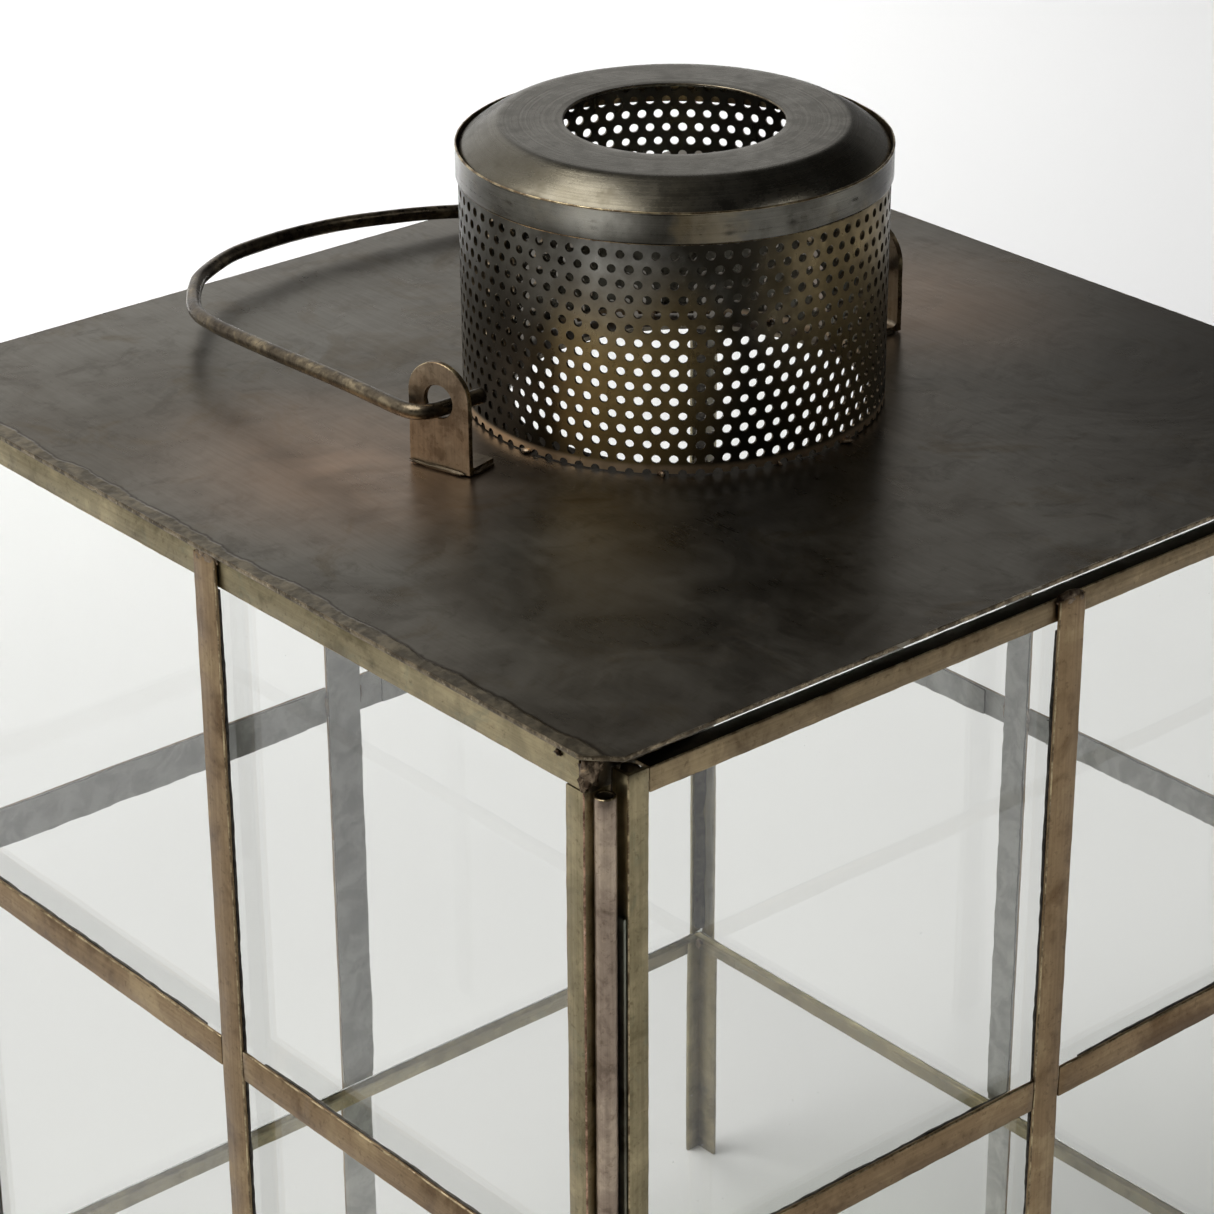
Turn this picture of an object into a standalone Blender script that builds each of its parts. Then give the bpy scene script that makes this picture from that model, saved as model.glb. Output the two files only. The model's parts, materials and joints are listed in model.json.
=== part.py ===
"""Square candle lantern in antique brass and clear glass, as separate solids.

Metres, +Z up.  The origin is on the floor, under the middle of the roof plate.
+X runs along the door from its hinge to its catch, -Y is the door side.
The door turns on the upright tube hinge at the corner (-X, -Y); the wire bail
turns on two soldered ears beside the chimney.
"""
import math

import bmesh
import bpy
from mathutils import Matrix, Vector

MM = 0.001

# ---------------------------------------------------------------- driving sizes (mm)
ROOF_SIDE = 230.0          # side of the square roof plate
ROOF_TOP = 295.0           # top face of the roof plate above the floor
ROOF_T = 1.0               # sheet thickness of the roof
ROOF_CLIP = 5.4            # clipped corners
BODY_BOTTOM = 65.2         # underside of the bottom rails: the legs' free length
GAP = 0.3                  # clearance between touching pieces

FRAME_OUT = 113.9          # outer face of the angle-bar frame from the centre
ARM = 5.0                  # width of each arm of the brass angle
ARM_BACK = 7.1             # the back posts' arms on the two side faces are wider
ANGLE_T = 1.0              # thickness of the brass angle
TOP_RAIL_H = 6.4
BOTTOM_RAIL_H = 7.4
FRONT_FACE = 109.3         # front faces of the two front posts, behind the door
FRONT_ARM = 6.3            # their front arms, which the door closes against

STRIP_W = 7.0              # flat glazing strips laid over the panes
STRIP_T = 0.8
STRIP_OUT = 115.0          # outer face of the strips
CROSS_Z = ROOF_TOP - 114.2 # centre of the horizontal strips
STRIP_W_BACK = 9.4         # the back face has wider strips

GLASS_T = 2.0
BASE_GLASS_T = 2.5

DOOR_X0, DOOR_X1 = -107.9, 110.3
DOOR_TOP = ROOF_TOP - 4.9
DOOR_BOTTOM = 64.5
DOOR_DEPTH = 4.2
DOOR_STILE_W = 4.8
DOOR_RAIL_H = 5.0
DOOR_T = 0.9

HINGE_X, HINGE_Y = -111.0, -111.6
TUBE_R, TUBE_BORE, PIN_R = 2.0, 1.4, 1.32
TUBE_TOP = ROOF_TOP - 8.3
KNUCKLE_Z0, KNUCKLE_Z1 = 158.0, 186.0      # the door's own knuckle
TUBE_BOTTOM = 68.0

CHIMNEY_X, CHIMNEY_Y = 3.3, 0.0            # the chimney was set a little off centre
CHIMNEY_R, CHIMNEY_T = 43.7, 0.7
CHIMNEY_H = 53.0
ROOF_HOLE_X, ROOF_HOLE_Y, ROOF_HOLE_R = 5.5, -3.0, 37.9
BAND_R, BAND_T = 44.3, 0.3
BAND_Z0, BAND_Z1 = 48.2, 54.8              # above the roof
CAP_TOP = 59.1
CAP_HOLE_R, CAP_T = 22.3, 0.9

EAR_W, EAR_H, EAR_T = 15.0, 22.4, 1.2
EAR_HOLE_R, EAR_HOLE_Z = 3.3, 14.2
EAR_FOOT = 7.0
EAR_LEFT_X, EAR_RIGHT_X = -58.0, 62.0
EAR_LEFT_YAW, EAR_RIGHT_YAW = 14.0, -4.0
WIRE_R = 1.6
BAIL_Z = ROOF_TOP + EAR_HOLE_Z - EAR_HOLE_R + WIRE_R + GAP   # pivot axis height

CATCH_X, CATCH_Z = 112.3, 166.0

# ---------------------------------------------------------------- clean start
for ob in list(bpy.data.objects):
    bpy.data.objects.remove(ob, do_unlink=True)
COLL = bpy.context.scene.collection


# ---------------------------------------------------------------- materials
def material(name, colour, rough, metal=1.0, alpha=1.0, trans=0.0):
    m = bpy.data.materials.new(name)
    m.use_nodes = True
    b = m.node_tree.nodes["Principled BSDF"]
    b.inputs["Base Color"].default_value = (*colour, 1.0)
    b.inputs["Roughness"].default_value = rough
    b.inputs["Metallic"].default_value = metal
    b.inputs["Alpha"].default_value = alpha
    b.inputs["Transmission Weight"].default_value = trans
    m.diffuse_color = (*colour, alpha)
    return m


def own(name, base, **kw):
    """A material of its own for one object, from a shared finish."""
    finishes = {
        "roof": dict(colour=(0.20, 0.18, 0.15), rough=0.42),
        "frame": dict(colour=(0.30, 0.25, 0.17), rough=0.45),
        "strip": dict(colour=(0.28, 0.22, 0.15), rough=0.42),
        "chimney": dict(colour=(0.20, 0.18, 0.13), rough=0.38),
        "cap": dict(colour=(0.17, 0.16, 0.14), rough=0.35),
        "band": dict(colour=(0.42, 0.39, 0.30), rough=0.33),
        "ear": dict(colour=(0.36, 0.32, 0.25), rough=0.40),
        "wire": dict(colour=(0.33, 0.28, 0.19), rough=0.38),
        "hinge": dict(colour=(0.45, 0.37, 0.29), rough=0.40),
        "glass": dict(colour=(0.93, 0.96, 0.95), rough=0.02, metal=0.0, alpha=0.3, trans=1.0),
    }
    return material("mat_" + name, **finishes[base])


# ---------------------------------------------------------------- builders
def link(name, mesh, finish, parent=None, smooth=None):
    ob = bpy.data.objects.new(name, mesh)
    COLL.objects.link(ob)
    mesh.materials.append(own(name, finish))
    if smooth is not None:
        mesh.shade_smooth()
        mesh.set_sharp_from_angle(angle=math.radians(smooth))
    if parent is not None:
        ob.parent = parent
        ob.matrix_parent_inverse = parent.matrix_world.inverted()
    return ob


def to_mesh(name, bm):
    bmesh.ops.recalc_face_normals(bm, faces=bm.faces)
    me = bpy.data.meshes.new(name)
    bm.to_mesh(me)
    bm.free()
    return me


def prism(name, outline, axis, a0, a1, finish, parent=None, bevel=0.0):
    """A straight bar: a closed outline in the plane across axis, run from a0 to a1 (mm)."""
    order = {"X": (1, 2), "Y": (0, 2), "Z": (0, 1)}[axis]
    k = "XYZ".index(axis)

    def point(p, a):
        v = [0.0, 0.0, 0.0]
        v[order[0]], v[order[1]], v[k] = p[0], p[1], a
        return Vector(v) * MM

    bm = bmesh.new()
    lo = [bm.verts.new(point(p, a0)) for p in outline]
    hi = [bm.verts.new(point(p, a1)) for p in outline]
    n = len(outline)
    bm.faces.new(lo)
    bm.faces.new(hi)
    for i in range(n):
        bm.faces.new((lo[i], lo[(i + 1) % n], hi[(i + 1) % n], hi[i]))
    ob = link(name, to_mesh(name, bm), finish, parent)
    if bevel:
        m = ob.modifiers.new("Bevel", "BEVEL")
        m.width = bevel * MM
        m.segments = 1
        m.limit_method = "ANGLE"
        m.angle_limit = math.radians(40)
    return ob


def box(name, lo, hi, finish, parent=None, bevel=0.0):
    return prism(
        name,
        [(lo[0], lo[1]), (hi[0], lo[1]), (hi[0], hi[1]), (lo[0], hi[1])],
        "Z", lo[2], hi[2], finish, parent, bevel,
    )


def angle_outline(corner, arms, t):
    """An L section: outer corner, signed arm lengths along the two section axes, thickness."""
    (u, v), (a, b) = corner, arms
    su, sv = math.copysign(t, a), math.copysign(t, b)
    return [(u, v), (u + a, v), (u + a, v + sv), (u + su, v + sv), (u + su, v + b), (u, v + b)]


def angle_bar(name, axis, corner, arms, a0, a1, finish, parent=None, t=ANGLE_T):
    return prism(name, angle_outline(corner, arms, t), axis, a0, a1, finish, parent, bevel=0.22)


def lathe(name, profile, centre, finish, parent=None, steps=48, axis="Z", smooth=35):
    """A closed profile of (radius, height) pairs turned about an axis through centre (mm)."""
    bm = bmesh.new()
    rings = []
    for r, h in profile:
        if r < 1e-6:
            rings.append([bm.verts.new(Vector((0, 0, h)) * MM)])
            continue
        rings.append([
            bm.verts.new(Vector((r * math.cos(2 * math.pi * i / steps),
                                 r * math.sin(2 * math.pi * i / steps), h)) * MM)
            for i in range(steps)
        ])
    closed = profile[0][0] > 1e-6
    pairs = list(zip(rings, rings[1:] + ([rings[0]] if closed else [])))
    for a, b in pairs:
        for i in range(steps):
            j = (i + 1) % steps
            if len(a) == 1 and len(b) == 1:
                continue
            if len(a) == 1:
                bm.faces.new((a[0], b[i], b[j]))
            elif len(b) == 1:
                bm.faces.new((a[i], b[0], a[j]))
            else:
                bm.faces.new((a[i], b[i], b[j], a[j]))
    if axis == "Y":
        bmesh.ops.rotate(bm, verts=bm.verts, cent=(0, 0, 0),
                         matrix=Matrix.Rotation(math.radians(90), 3, "X"))
    bmesh.ops.translate(bm, verts=bm.verts, vec=Vector(centre) * MM)
    return link(name, to_mesh(name, bm), finish, parent, smooth)


def cutter(name, r, centre, depth, axis="Z", steps=48, yaw=0.0):
    bm = bmesh.new()
    bmesh.ops.create_cone(bm, cap_ends=True, segments=steps, radius1=r * MM, radius2=r * MM,
                          depth=depth * MM)
    if axis == "X":
        bmesh.ops.rotate(bm, verts=bm.verts, cent=(0, 0, 0),
                         matrix=Matrix.Rotation(math.radians(90), 3, "Y"))
    if axis == "Y":
        bmesh.ops.rotate(bm, verts=bm.verts, cent=(0, 0, 0),
                         matrix=Matrix.Rotation(math.radians(90), 3, "X"))
    if yaw:
        bmesh.ops.rotate(bm, verts=bm.verts, cent=(0, 0, 0),
                         matrix=Matrix.Rotation(math.radians(yaw), 3, "Z"))
    bmesh.ops.translate(bm, verts=bm.verts, vec=Vector(centre) * MM)
    me = to_mesh(name, bm)
    ob = bpy.data.objects.new(name, me)
    COLL.objects.link(ob)
    ob.hide_render = True
    ob.display_type = "WIRE"
    return ob


def cut(ob, tool):
    m = ob.modifiers.new("Hole", "BOOLEAN")
    m.operation = "DIFFERENCE"
    m.solver = "EXACT"
    m.object = tool


def sweep(name, path, r, finish, parent=None, sides=10, smooth=60):
    """A round wire along a path of points (mm), with flat ends."""
    pts = [Vector(p) for p in path]
    tang = []
    for i in range(len(pts)):
        a, b = pts[max(i - 1, 0)], pts[min(i + 1, len(pts) - 1)]
        tang.append((b - a).normalized())
    ref = Vector((0, 0, 1))
    n = (ref - tang[0] * ref.dot(tang[0])).normalized()
    bm = bmesh.new()
    rings = []
    for p, t in zip(pts, tang):
        n = (n - t * n.dot(t)).normalized()
        b = t.cross(n)
        rings.append([
            bm.verts.new((p + (n * math.cos(2 * math.pi * k / sides)
                               + b * math.sin(2 * math.pi * k / sides)) * r) * MM)
            for k in range(sides)
        ])
    for a, b in zip(rings, rings[1:]):
        for k in range(sides):
            j = (k + 1) % sides
            bm.faces.new((a[k], a[j], b[j], b[k]))
    bm.faces.new(rings[0])
    bm.faces.new(rings[-1])
    return link(name, to_mesh(name, bm), finish, parent, smooth)


def smooth_path(knots, per=6):
    """Points on a Catmull-Rom curve through the knots."""
    k = [Vector(p) for p in knots]
    k = [k[0] * 2 - k[1]] + k + [k[-1] * 2 - k[-2]]
    out = []
    for i in range(1, len(k) - 2):
        p0, p1, p2, p3 = k[i - 1], k[i], k[i + 1], k[i + 2]
        for s in range(per):
            t = s / per
            out.append(0.5 * ((2 * p1) + (p2 - p0) * t + (2 * p0 - 5 * p1 + 4 * p2 - p3) * t * t
                              + (3 * p1 - p0 - 3 * p2 + p3) * t * t * t))
    out.append(k[-2])
    return out


def empty(name, where):
    e = bpy.data.objects.new(name, None)
    e.location = Vector(where) * MM
    COLL.objects.link(e)
    bpy.context.view_layer.update()
    return e


# ---------------------------------------------------------------- roof
half = ROOF_SIDE / 2
c = ROOF_CLIP
roof = prism(
    "roof_plate",
    [(-half + c, -half), (half - c, -half), (half, -half + c), (half, half - c),
     (half - c, half), (-half + c, half), (-half, half - c), (-half, -half + c)],
    "Z", ROOF_TOP - ROOF_T, ROOF_TOP, "roof",
)
cut(roof, cutter("roof_hole_tool", ROOF_HOLE_R,
                 (ROOF_HOLE_X, ROOF_HOLE_Y, ROOF_TOP - ROOF_T / 2), 4.0, steps=48))

z0 = ROOF_TOP + GAP
lathe("chimney_tube",
      [(CHIMNEY_R - CHIMNEY_T, 0), (CHIMNEY_R, 0), (CHIMNEY_R, CHIMNEY_H), (CHIMNEY_R - CHIMNEY_T, CHIMNEY_H)],
      (CHIMNEY_X, CHIMNEY_Y, z0), "chimney", steps=64)
lathe("chimney_band",
      [(BAND_R - BAND_T, BAND_Z0), (BAND_R, BAND_Z0), (BAND_R, BAND_Z1), (BAND_R - BAND_T, BAND_Z1)],
      (CHIMNEY_X, CHIMNEY_Y, ROOF_TOP), "band", steps=64)

# pressed cap: flat top round the vent hole, then a sloping shoulder that ends inside the band
skirt_r = CHIMNEY_R - 0.1
skirt_bottom = CHIMNEY_H + 2 * GAP
outer = [(CAP_HOLE_R, CAP_TOP), (35.0, CAP_TOP), (36.3, CAP_TOP - 0.25), (38.0, CAP_TOP - 1.05),
         (39.7, CAP_TOP - 2.1), (41.3, CAP_TOP - 3.2), (42.6, CAP_TOP - 4.2), (skirt_r, CAP_TOP - 5.1),
         (skirt_r, skirt_bottom)]
inner = [(skirt_r - CAP_T, skirt_bottom), (41.9, CAP_TOP - 4.9), (40.6, CAP_TOP - 3.9), (39.0, CAP_TOP - 2.8),
         (37.4, CAP_TOP - 1.8), (35.9, CAP_TOP - 1.1), (34.8, CAP_TOP - CAP_T), (CAP_HOLE_R, CAP_TOP - CAP_T)]
lathe("chimney_cap", outer + inner, (CHIMNEY_X, CHIMNEY_Y, ROOF_TOP), "cap", steps=64)


# ---------------------------------------------------------------- bail ears and bail
def ear(name, x, yaw, foot_dir):
    """Upright tab with a round head and a wire hole, and a foot bent towards the chimney."""
    r = EAR_W / 2
    top = EAR_H - r
    side = [(-r, 0.0), (-r, top)]
    side += [(-r * math.cos(math.pi * i / 14), top + r * math.sin(math.pi * i / 14)) for i in range(1, 14)]
    side += [(r, top), (r, 0.0)]
    t = EAR_T
    bm = bmesh.new()
    a = [bm.verts.new(Vector((-t / 2, y, z)) * MM) for y, z in side]
    b = [bm.verts.new(Vector((t / 2, y, z)) * MM) for y, z in side]
    n = len(side)
    bm.faces.new(a)
    bm.faces.new(b)
    for i in range(n - 1):
        bm.faces.new((a[i], a[i + 1], b[i + 1], b[i]))
    low = bm.faces.new((a[-1], a[0], b[0], b[-1]))
    bmesh.ops.recalc_face_normals(bm, faces=bm.faces)
    body = to_mesh(name, bm)
    ob = link(name, body, "ear", smooth=30)
    # the foot is one sheet with the tab, joined by a union
    fx0, fx1 = (t / 2 - 0.3, t / 2 + EAR_FOOT) if foot_dir > 0 else (-t / 2 - EAR_FOOT, -t / 2 + 0.3)
    foot = bpy.data.objects.new(name + "_foot_tool", None)
    bm = bmesh.new()
    bmesh.ops.create_cube(bm, size=1.0)
    bmesh.ops.scale(bm, verts=bm.verts, vec=Vector((fx1 - fx0, EAR_W - 1.0, t)) * MM)
    bmesh.ops.translate(bm, verts=bm.verts, vec=Vector(((fx0 + fx1) / 2, 0, t / 2)) * MM)
    me = to_mesh(name + "_foot_tool", bm)
    foot = bpy.data.objects.new(name + "_foot_tool", me)
    COLL.objects.link(foot)
    foot.hide_render = True
    foot.display_type = "WIRE"
    place = Matrix.Translation(Vector((x, 0, ROOF_TOP + GAP)) * MM) @ Matrix.Rotation(math.radians(yaw), 4, "Z")
    ob.matrix_world = place
    foot.matrix_world = place
    u = ob.modifiers.new("Foot", "BOOLEAN")
    u.operation, u.solver, u.object = "UNION", "EXACT", foot
    cut(ob, cutter(name + "_hole_tool", EAR_HOLE_R, (x, 0, ROOF_TOP + EAR_HOLE_Z), 6.0, axis="X",
                   steps=24, yaw=yaw))
    return ob


ear("bail_ear_left", EAR_LEFT_X, EAR_LEFT_YAW, 1)
ear("bail_ear_right", EAR_RIGHT_X, EAR_RIGHT_YAW, -1)

bail_pivot = empty("bail_axis", (2.0, 0.0, BAIL_Z))
zt = ROOF_TOP
left = [(-47.5, 0.0, BAIL_Z), (-52.0, 0.0, BAIL_Z), (-56.5, 0.0, BAIL_Z), (-60.0, 0.35, BAIL_Z),
        (-62.4, 2.2, BAIL_Z - 0.1), (-63.1, 6.4, BAIL_Z - 0.3), (-62.6, 16.0, zt + 12.0),
        (-61.9, 31.0, zt + 11.3), (-61.4, 52.4, zt + 10.2), (-59.9, 74.1, zt + 8.9),
        (-57.4, 84.5, zt + 8.2), (-52.8, 92.3, zt + 7.6), (-47.6, 99.0, zt + 7.3),
        (-41.8, 104.6, zt + 7.0), (-29.5, 111.6, zt + 6.5)]
middle = [(-18.0, 114.2, zt + 6.1), (-7.7, 115.2, zt + 5.7), (2.5, 114.8, zt + 5.3),
          (12.9, 112.9, zt + 4.8)]
right = [(24.0, 110.2, zt + 4.1), (36.0, 105.4, zt + 3.2), (46.5, 99.0, zt + 2.6),
         (55.0, 90.0, zt + 2.2), (61.0, 78.0, zt + 3.4), (64.6, 62.0, zt + 5.6),
         (66.4, 44.0, zt + 8.0), (67.0, 24.0, zt + 10.6), (67.2, 9.0, zt + 12.3),
         (66.6, 3.2, BAIL_Z - 0.2), (64.2, 0.5, BAIL_Z), (60.5, 0.0, BAIL_Z), (56.0, 0.0, BAIL_Z),
         (52.0, 0.0, BAIL_Z)]
sweep("bail_handle", smooth_path(left + middle + right, per=2), WIRE_R, "wire", bail_pivot, sides=10)

# ---------------------------------------------------------------- corner posts, which run down as legs
F = FRAME_OUT
post_top = ROOF_TOP - ROOF_T - GAP - TOP_RAIL_H - GAP
# the front posts' front arms run up to the roof as tongues, inside the ends of the top rails
tongue_top = ROOF_TOP - ROOF_T - GAP
for name, sx in (("post_front_left", -1), ("post_front_right", 1)):
    post = angle_bar(name, "Z", (sx * F, -FRONT_FACE), (-sx * FRONT_ARM, ARM), 0, tongue_top, "frame")
    notch = box(name + "_notch_tool", (min(sx * (F + 2), sx * (F - 1.3)), -FRONT_FACE - 2, post_top),
                (max(sx * (F + 2), sx * (F - 1.3)), -FRONT_FACE + ARM + 2, tongue_top + 2), "frame")
    notch.hide_render = True
    notch.display_type = "WIRE"
    cut(post, notch)
angle_bar("post_back_left", "Z", (-F, F), (ARM, -ARM_BACK), 0, post_top, "frame")
angle_bar("post_back_right", "Z", (F, F), (-ARM, -ARM_BACK), 0, post_top, "frame")

# ---------------------------------------------------------------- top rails under the roof, on three sides
rt = ROOF_TOP - ROOF_T - GAP                # top of the top rails
rail_y0, rail_y1 = -FRONT_FACE + ANGLE_T + GAP, F
angle_bar("top_rail_left", "Y", (-F, rt), (ARM, -TOP_RAIL_H), rail_y0, rail_y1, "frame")
angle_bar("top_rail_right", "Y", (F, rt), (-ARM, -TOP_RAIL_H), rail_y0, rail_y1, "frame")
angle_bar("top_rail_back", "X", (F, rt), (-ARM, -TOP_RAIL_H), -F + ARM + GAP, F - ARM - GAP, "frame")

# ---------------------------------------------------------------- bottom rails between the posts, level arm on top
rb = BODY_BOTTOM
rail_top = rb + BOTTOM_RAIL_H
inset = ANGLE_T + GAP
for name, axis, corner, arms, e0, e1 in (
    ("bottom_rail_left", "Y", -F + inset, ARM, -FRONT_FACE + inset, F - inset),
    ("bottom_rail_right", "Y", F - inset, -ARM, -FRONT_FACE + inset, F - inset),
    ("bottom_rail_back", "X", F - inset, -ARM, -F + inset + ARM + GAP, F - inset - ARM - GAP),
    ("bottom_rail_front", "X", -FRONT_FACE + inset, ARM, -F + inset + ARM + GAP, F - inset - ARM - GAP),
):
    angle_bar(name, axis, (corner, rail_top), (arms, -BOTTOM_RAIL_H), e0, e1, "frame")

# ---------------------------------------------------------------- glass, resting on the rails' level arms
pane_z0, pane_z1 = rail_top + GAP, rt - ANGLE_T - GAP
pane_out = F - inset - ANGLE_T - GAP        # outer faces of the fixed panes
front_end = -FRONT_FACE + inset + 0.7
box("pane_left", (-pane_out, front_end, pane_z0), (-pane_out + GLASS_T, pane_out - GLASS_T - GAP, pane_z1), "glass", bevel=0.25)
box("pane_right", (pane_out - GLASS_T, front_end, pane_z0), (pane_out, pane_out - GLASS_T - GAP, pane_z1), "glass", bevel=0.25)
box("pane_back", (-pane_out, pane_out - GLASS_T, pane_z0), (pane_out, pane_out, pane_z1), "glass", bevel=0.25)
base_edge = pane_out - GLASS_T - 2 * GAP
box("base_glass", (-base_edge, -FRONT_FACE + inset + ANGLE_T + GAP, pane_z0),
    (base_edge, base_edge, pane_z0 + BASE_GLASS_T), "glass", bevel=0.4)


# ---------------------------------------------------------------- flat glazing strips on the three fixed sides
def strip(name, axis, face, sign, u0, u1, z0_, z1_, parent=None):
    """A flat strip on the face at +-STRIP_OUT: axis is the face's normal, u the level direction."""
    a, b = sorted((sign * face, sign * (face - STRIP_T)))
    if axis == "X":
        return box(name, (a, u0, z0_), (b, u1, z1_), "strip", parent, bevel=0.2)
    return box(name, (u0, a, z0_), (u1, b, z1_), "strip", parent, bevel=0.2)


strip_top = rt - 0.5
for side, axis, sign, mid, e0, e1, wide in (
    ("left", "X", -1, 0.8, -FRONT_FACE + 0.4, F - 0.4, STRIP_W),
    ("right", "X", 1, 1.4, -FRONT_FACE + 0.4, F - 0.4, STRIP_W),
    ("back", "Y", 1, -1.2, -F + 0.4, F - 0.4, STRIP_W_BACK),
):
    h = wide / 2
    # the uprights run on below the rails, down to the floor
    strip(f"strip_{side}_upright", axis, STRIP_OUT, sign, mid - h, mid + h, 0.0, strip_top)
    strip(f"strip_{side}_cross_a", axis, STRIP_OUT, sign, e0, mid - h - GAP, CROSS_Z - h, CROSS_Z + h)
    strip(f"strip_{side}_cross_b", axis, STRIP_OUT, sign, mid + h + GAP, e1, CROSS_Z - h, CROSS_Z + h)

h = STRIP_W / 2
# ---------------------------------------------------------------- door on its upright hinge
door_axis = empty("door_axis", (HINGE_X, HINGE_Y, 0))
sw, rh, dt = DOOR_STILE_W, DOOR_RAIL_H, DOOR_T
d0, d1 = -F, -F + DOOR_DEPTH
angle_bar("door_stile_hinge", "Z", (DOOR_X0, d0), (sw, DOOR_DEPTH), DOOR_BOTTOM, DOOR_TOP, "frame", door_axis, t=dt)
angle_bar("door_stile_catch", "Z", (DOOR_X1, d0), (-sw, DOOR_DEPTH), DOOR_BOTTOM, DOOR_TOP, "frame", door_axis, t=dt)
angle_bar("door_rail_top", "X", (d0, DOOR_TOP), (DOOR_DEPTH, -rh), DOOR_X0 + sw + GAP, DOOR_X1 - sw - GAP, "frame", door_axis, t=dt)
angle_bar("door_rail_bottom", "X", (d0, DOOR_BOTTOM), (DOOR_DEPTH, rh), DOOR_X0 + sw + GAP, DOOR_X1 - sw - GAP, "frame", door_axis, t=dt)
box("door_pane", (DOOR_X0 + dt + GAP, d0 + dt + GAP, DOOR_BOTTOM + dt + GAP),
    (DOOR_X1 - dt - GAP, d0 + dt + GAP + GLASS_T, DOOR_TOP - dt - GAP), "glass", door_axis, bevel=0.25)
mid = (DOOR_X0 + DOOR_X1) / 2
strip("door_strip_upright", "Y", STRIP_OUT, -1, mid - h, mid + h, DOOR_BOTTOM + 0.5, DOOR_TOP - 0.4, door_axis)
strip("door_strip_cross_a", "Y", STRIP_OUT, -1, DOOR_X0 + 0.4, mid - h - GAP, CROSS_Z - h, CROSS_Z + h, door_axis)
strip("door_strip_cross_b", "Y", STRIP_OUT, -1, mid + h + GAP, DOOR_X1 - 0.4, CROSS_Z - h, CROSS_Z + h, door_axis)

# hinge: two long tubes on the post, the door's own knuckle between them, one pin through all three
ring = lambda za, zb: [(TUBE_BORE, za), (TUBE_R, za), (TUBE_R, zb), (TUBE_BORE, zb)]
lathe("hinge_tube_upper", ring(KNUCKLE_Z1 + GAP, TUBE_TOP), (HINGE_X, HINGE_Y, 0), "hinge", steps=20)
lathe("hinge_tube_lower", ring(TUBE_BOTTOM, KNUCKLE_Z0 - GAP), (HINGE_X, HINGE_Y, 0), "hinge", steps=20)
lathe("hinge_pin", [(0, TUBE_BOTTOM - 1.5), (PIN_R, TUBE_BOTTOM - 1.5), (PIN_R, TUBE_TOP - 4.0), (0, TUBE_TOP - 4.0)],
      (HINGE_X, HINGE_Y, 0), "hinge", steps=20)
# door leaf: a thin strip soldered to the stile's side, curled round the pin at the knuckle
leaf = box("hinge_leaf", (DOOR_X0 - GAP - 0.5, -F + 0.3, KNUCKLE_Z0 - 66.0), (DOOR_X0 - GAP, -F + 3.6, KNUCKLE_Z1 + 76.0),
           "hinge", door_axis)
knuckle = lathe("hinge_knuckle_tool", ring(KNUCKLE_Z0, KNUCKLE_Z1), (HINGE_X, HINGE_Y, 0), "hinge", steps=20)
knuckle.hide_render = True
knuckle.display_type = "WIRE"
knuckle.parent = door_axis
knuckle.matrix_parent_inverse = door_axis.matrix_world.inverted()
web = box("hinge_web_tool", (HINGE_X + 1.6, HINGE_Y - 0.5, KNUCKLE_Z0), (DOOR_X0 - GAP - 0.2, HINGE_Y + 0.5, KNUCKLE_Z1),
          "hinge", door_axis)
web.hide_render = True
web.display_type = "WIRE"
for tool in (web, knuckle):
    u = leaf.modifiers.new("Join", "BOOLEAN")
    u.operation, u.solver, u.object = "UNION", "EXACT", tool

# ---------------------------------------------------------------- turn button that keeps the door shut
lathe("catch_rivet",
      [(0, 0), (1.4, 0), (1.4, 4.4), (0.8, 4.4), (0.8, 5.9), (1.5, 5.9), (1.5, 6.5), (0, 6.7)],
      (CATCH_X, -FRONT_FACE - GAP, CATCH_Z), "hinge", steps=20, axis="Y")
catch_axis = empty("catch_axis", (CATCH_X, -114.6, CATCH_Z))
tw = 1.4
tab = [(CATCH_X - tw, CATCH_Z - 12.5)] + [
    (CATCH_X - tw * math.cos(math.pi * i / 8), CATCH_Z + 0.4 + tw * math.sin(math.pi * i / 8)) for i in range(9)
] + [(CATCH_X + tw, CATCH_Z - 12.5), (CATCH_X + 0.7, CATCH_Z - 13.6), (CATCH_X - 0.7, CATCH_Z - 13.6)]
button = prism("turn_button", tab, "Y", -115.2, -114.3, "hinge", catch_axis)
cut(button, cutter("turn_button_hole_tool", 1.05, (CATCH_X, -114.75, CATCH_Z), 3.0, axis="Y", steps=16))

bpy.context.view_layer.update()
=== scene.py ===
"""Looks of the square brass and glass lantern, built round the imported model."""

import json
import math

import bmesh
import bpy
from mathutils import Matrix, Vector, noise


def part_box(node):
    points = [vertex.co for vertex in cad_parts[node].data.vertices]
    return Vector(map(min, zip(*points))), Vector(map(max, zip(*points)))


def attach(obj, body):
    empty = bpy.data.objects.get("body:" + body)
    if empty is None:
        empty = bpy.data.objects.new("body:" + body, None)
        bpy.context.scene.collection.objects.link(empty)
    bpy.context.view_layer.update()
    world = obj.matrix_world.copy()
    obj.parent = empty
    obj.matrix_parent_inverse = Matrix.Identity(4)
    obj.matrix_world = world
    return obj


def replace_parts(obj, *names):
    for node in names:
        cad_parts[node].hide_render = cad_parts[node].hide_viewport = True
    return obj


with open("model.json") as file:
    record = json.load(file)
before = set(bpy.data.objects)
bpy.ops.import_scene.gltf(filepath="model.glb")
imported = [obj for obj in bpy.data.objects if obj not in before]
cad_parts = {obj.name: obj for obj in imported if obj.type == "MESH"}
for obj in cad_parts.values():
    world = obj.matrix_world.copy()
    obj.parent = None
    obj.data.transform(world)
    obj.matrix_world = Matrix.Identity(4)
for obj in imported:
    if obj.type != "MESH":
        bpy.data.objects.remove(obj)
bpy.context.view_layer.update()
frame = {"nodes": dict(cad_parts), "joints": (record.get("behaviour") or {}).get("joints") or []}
NODES = frame["nodes"]


MM = 0.001


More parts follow.
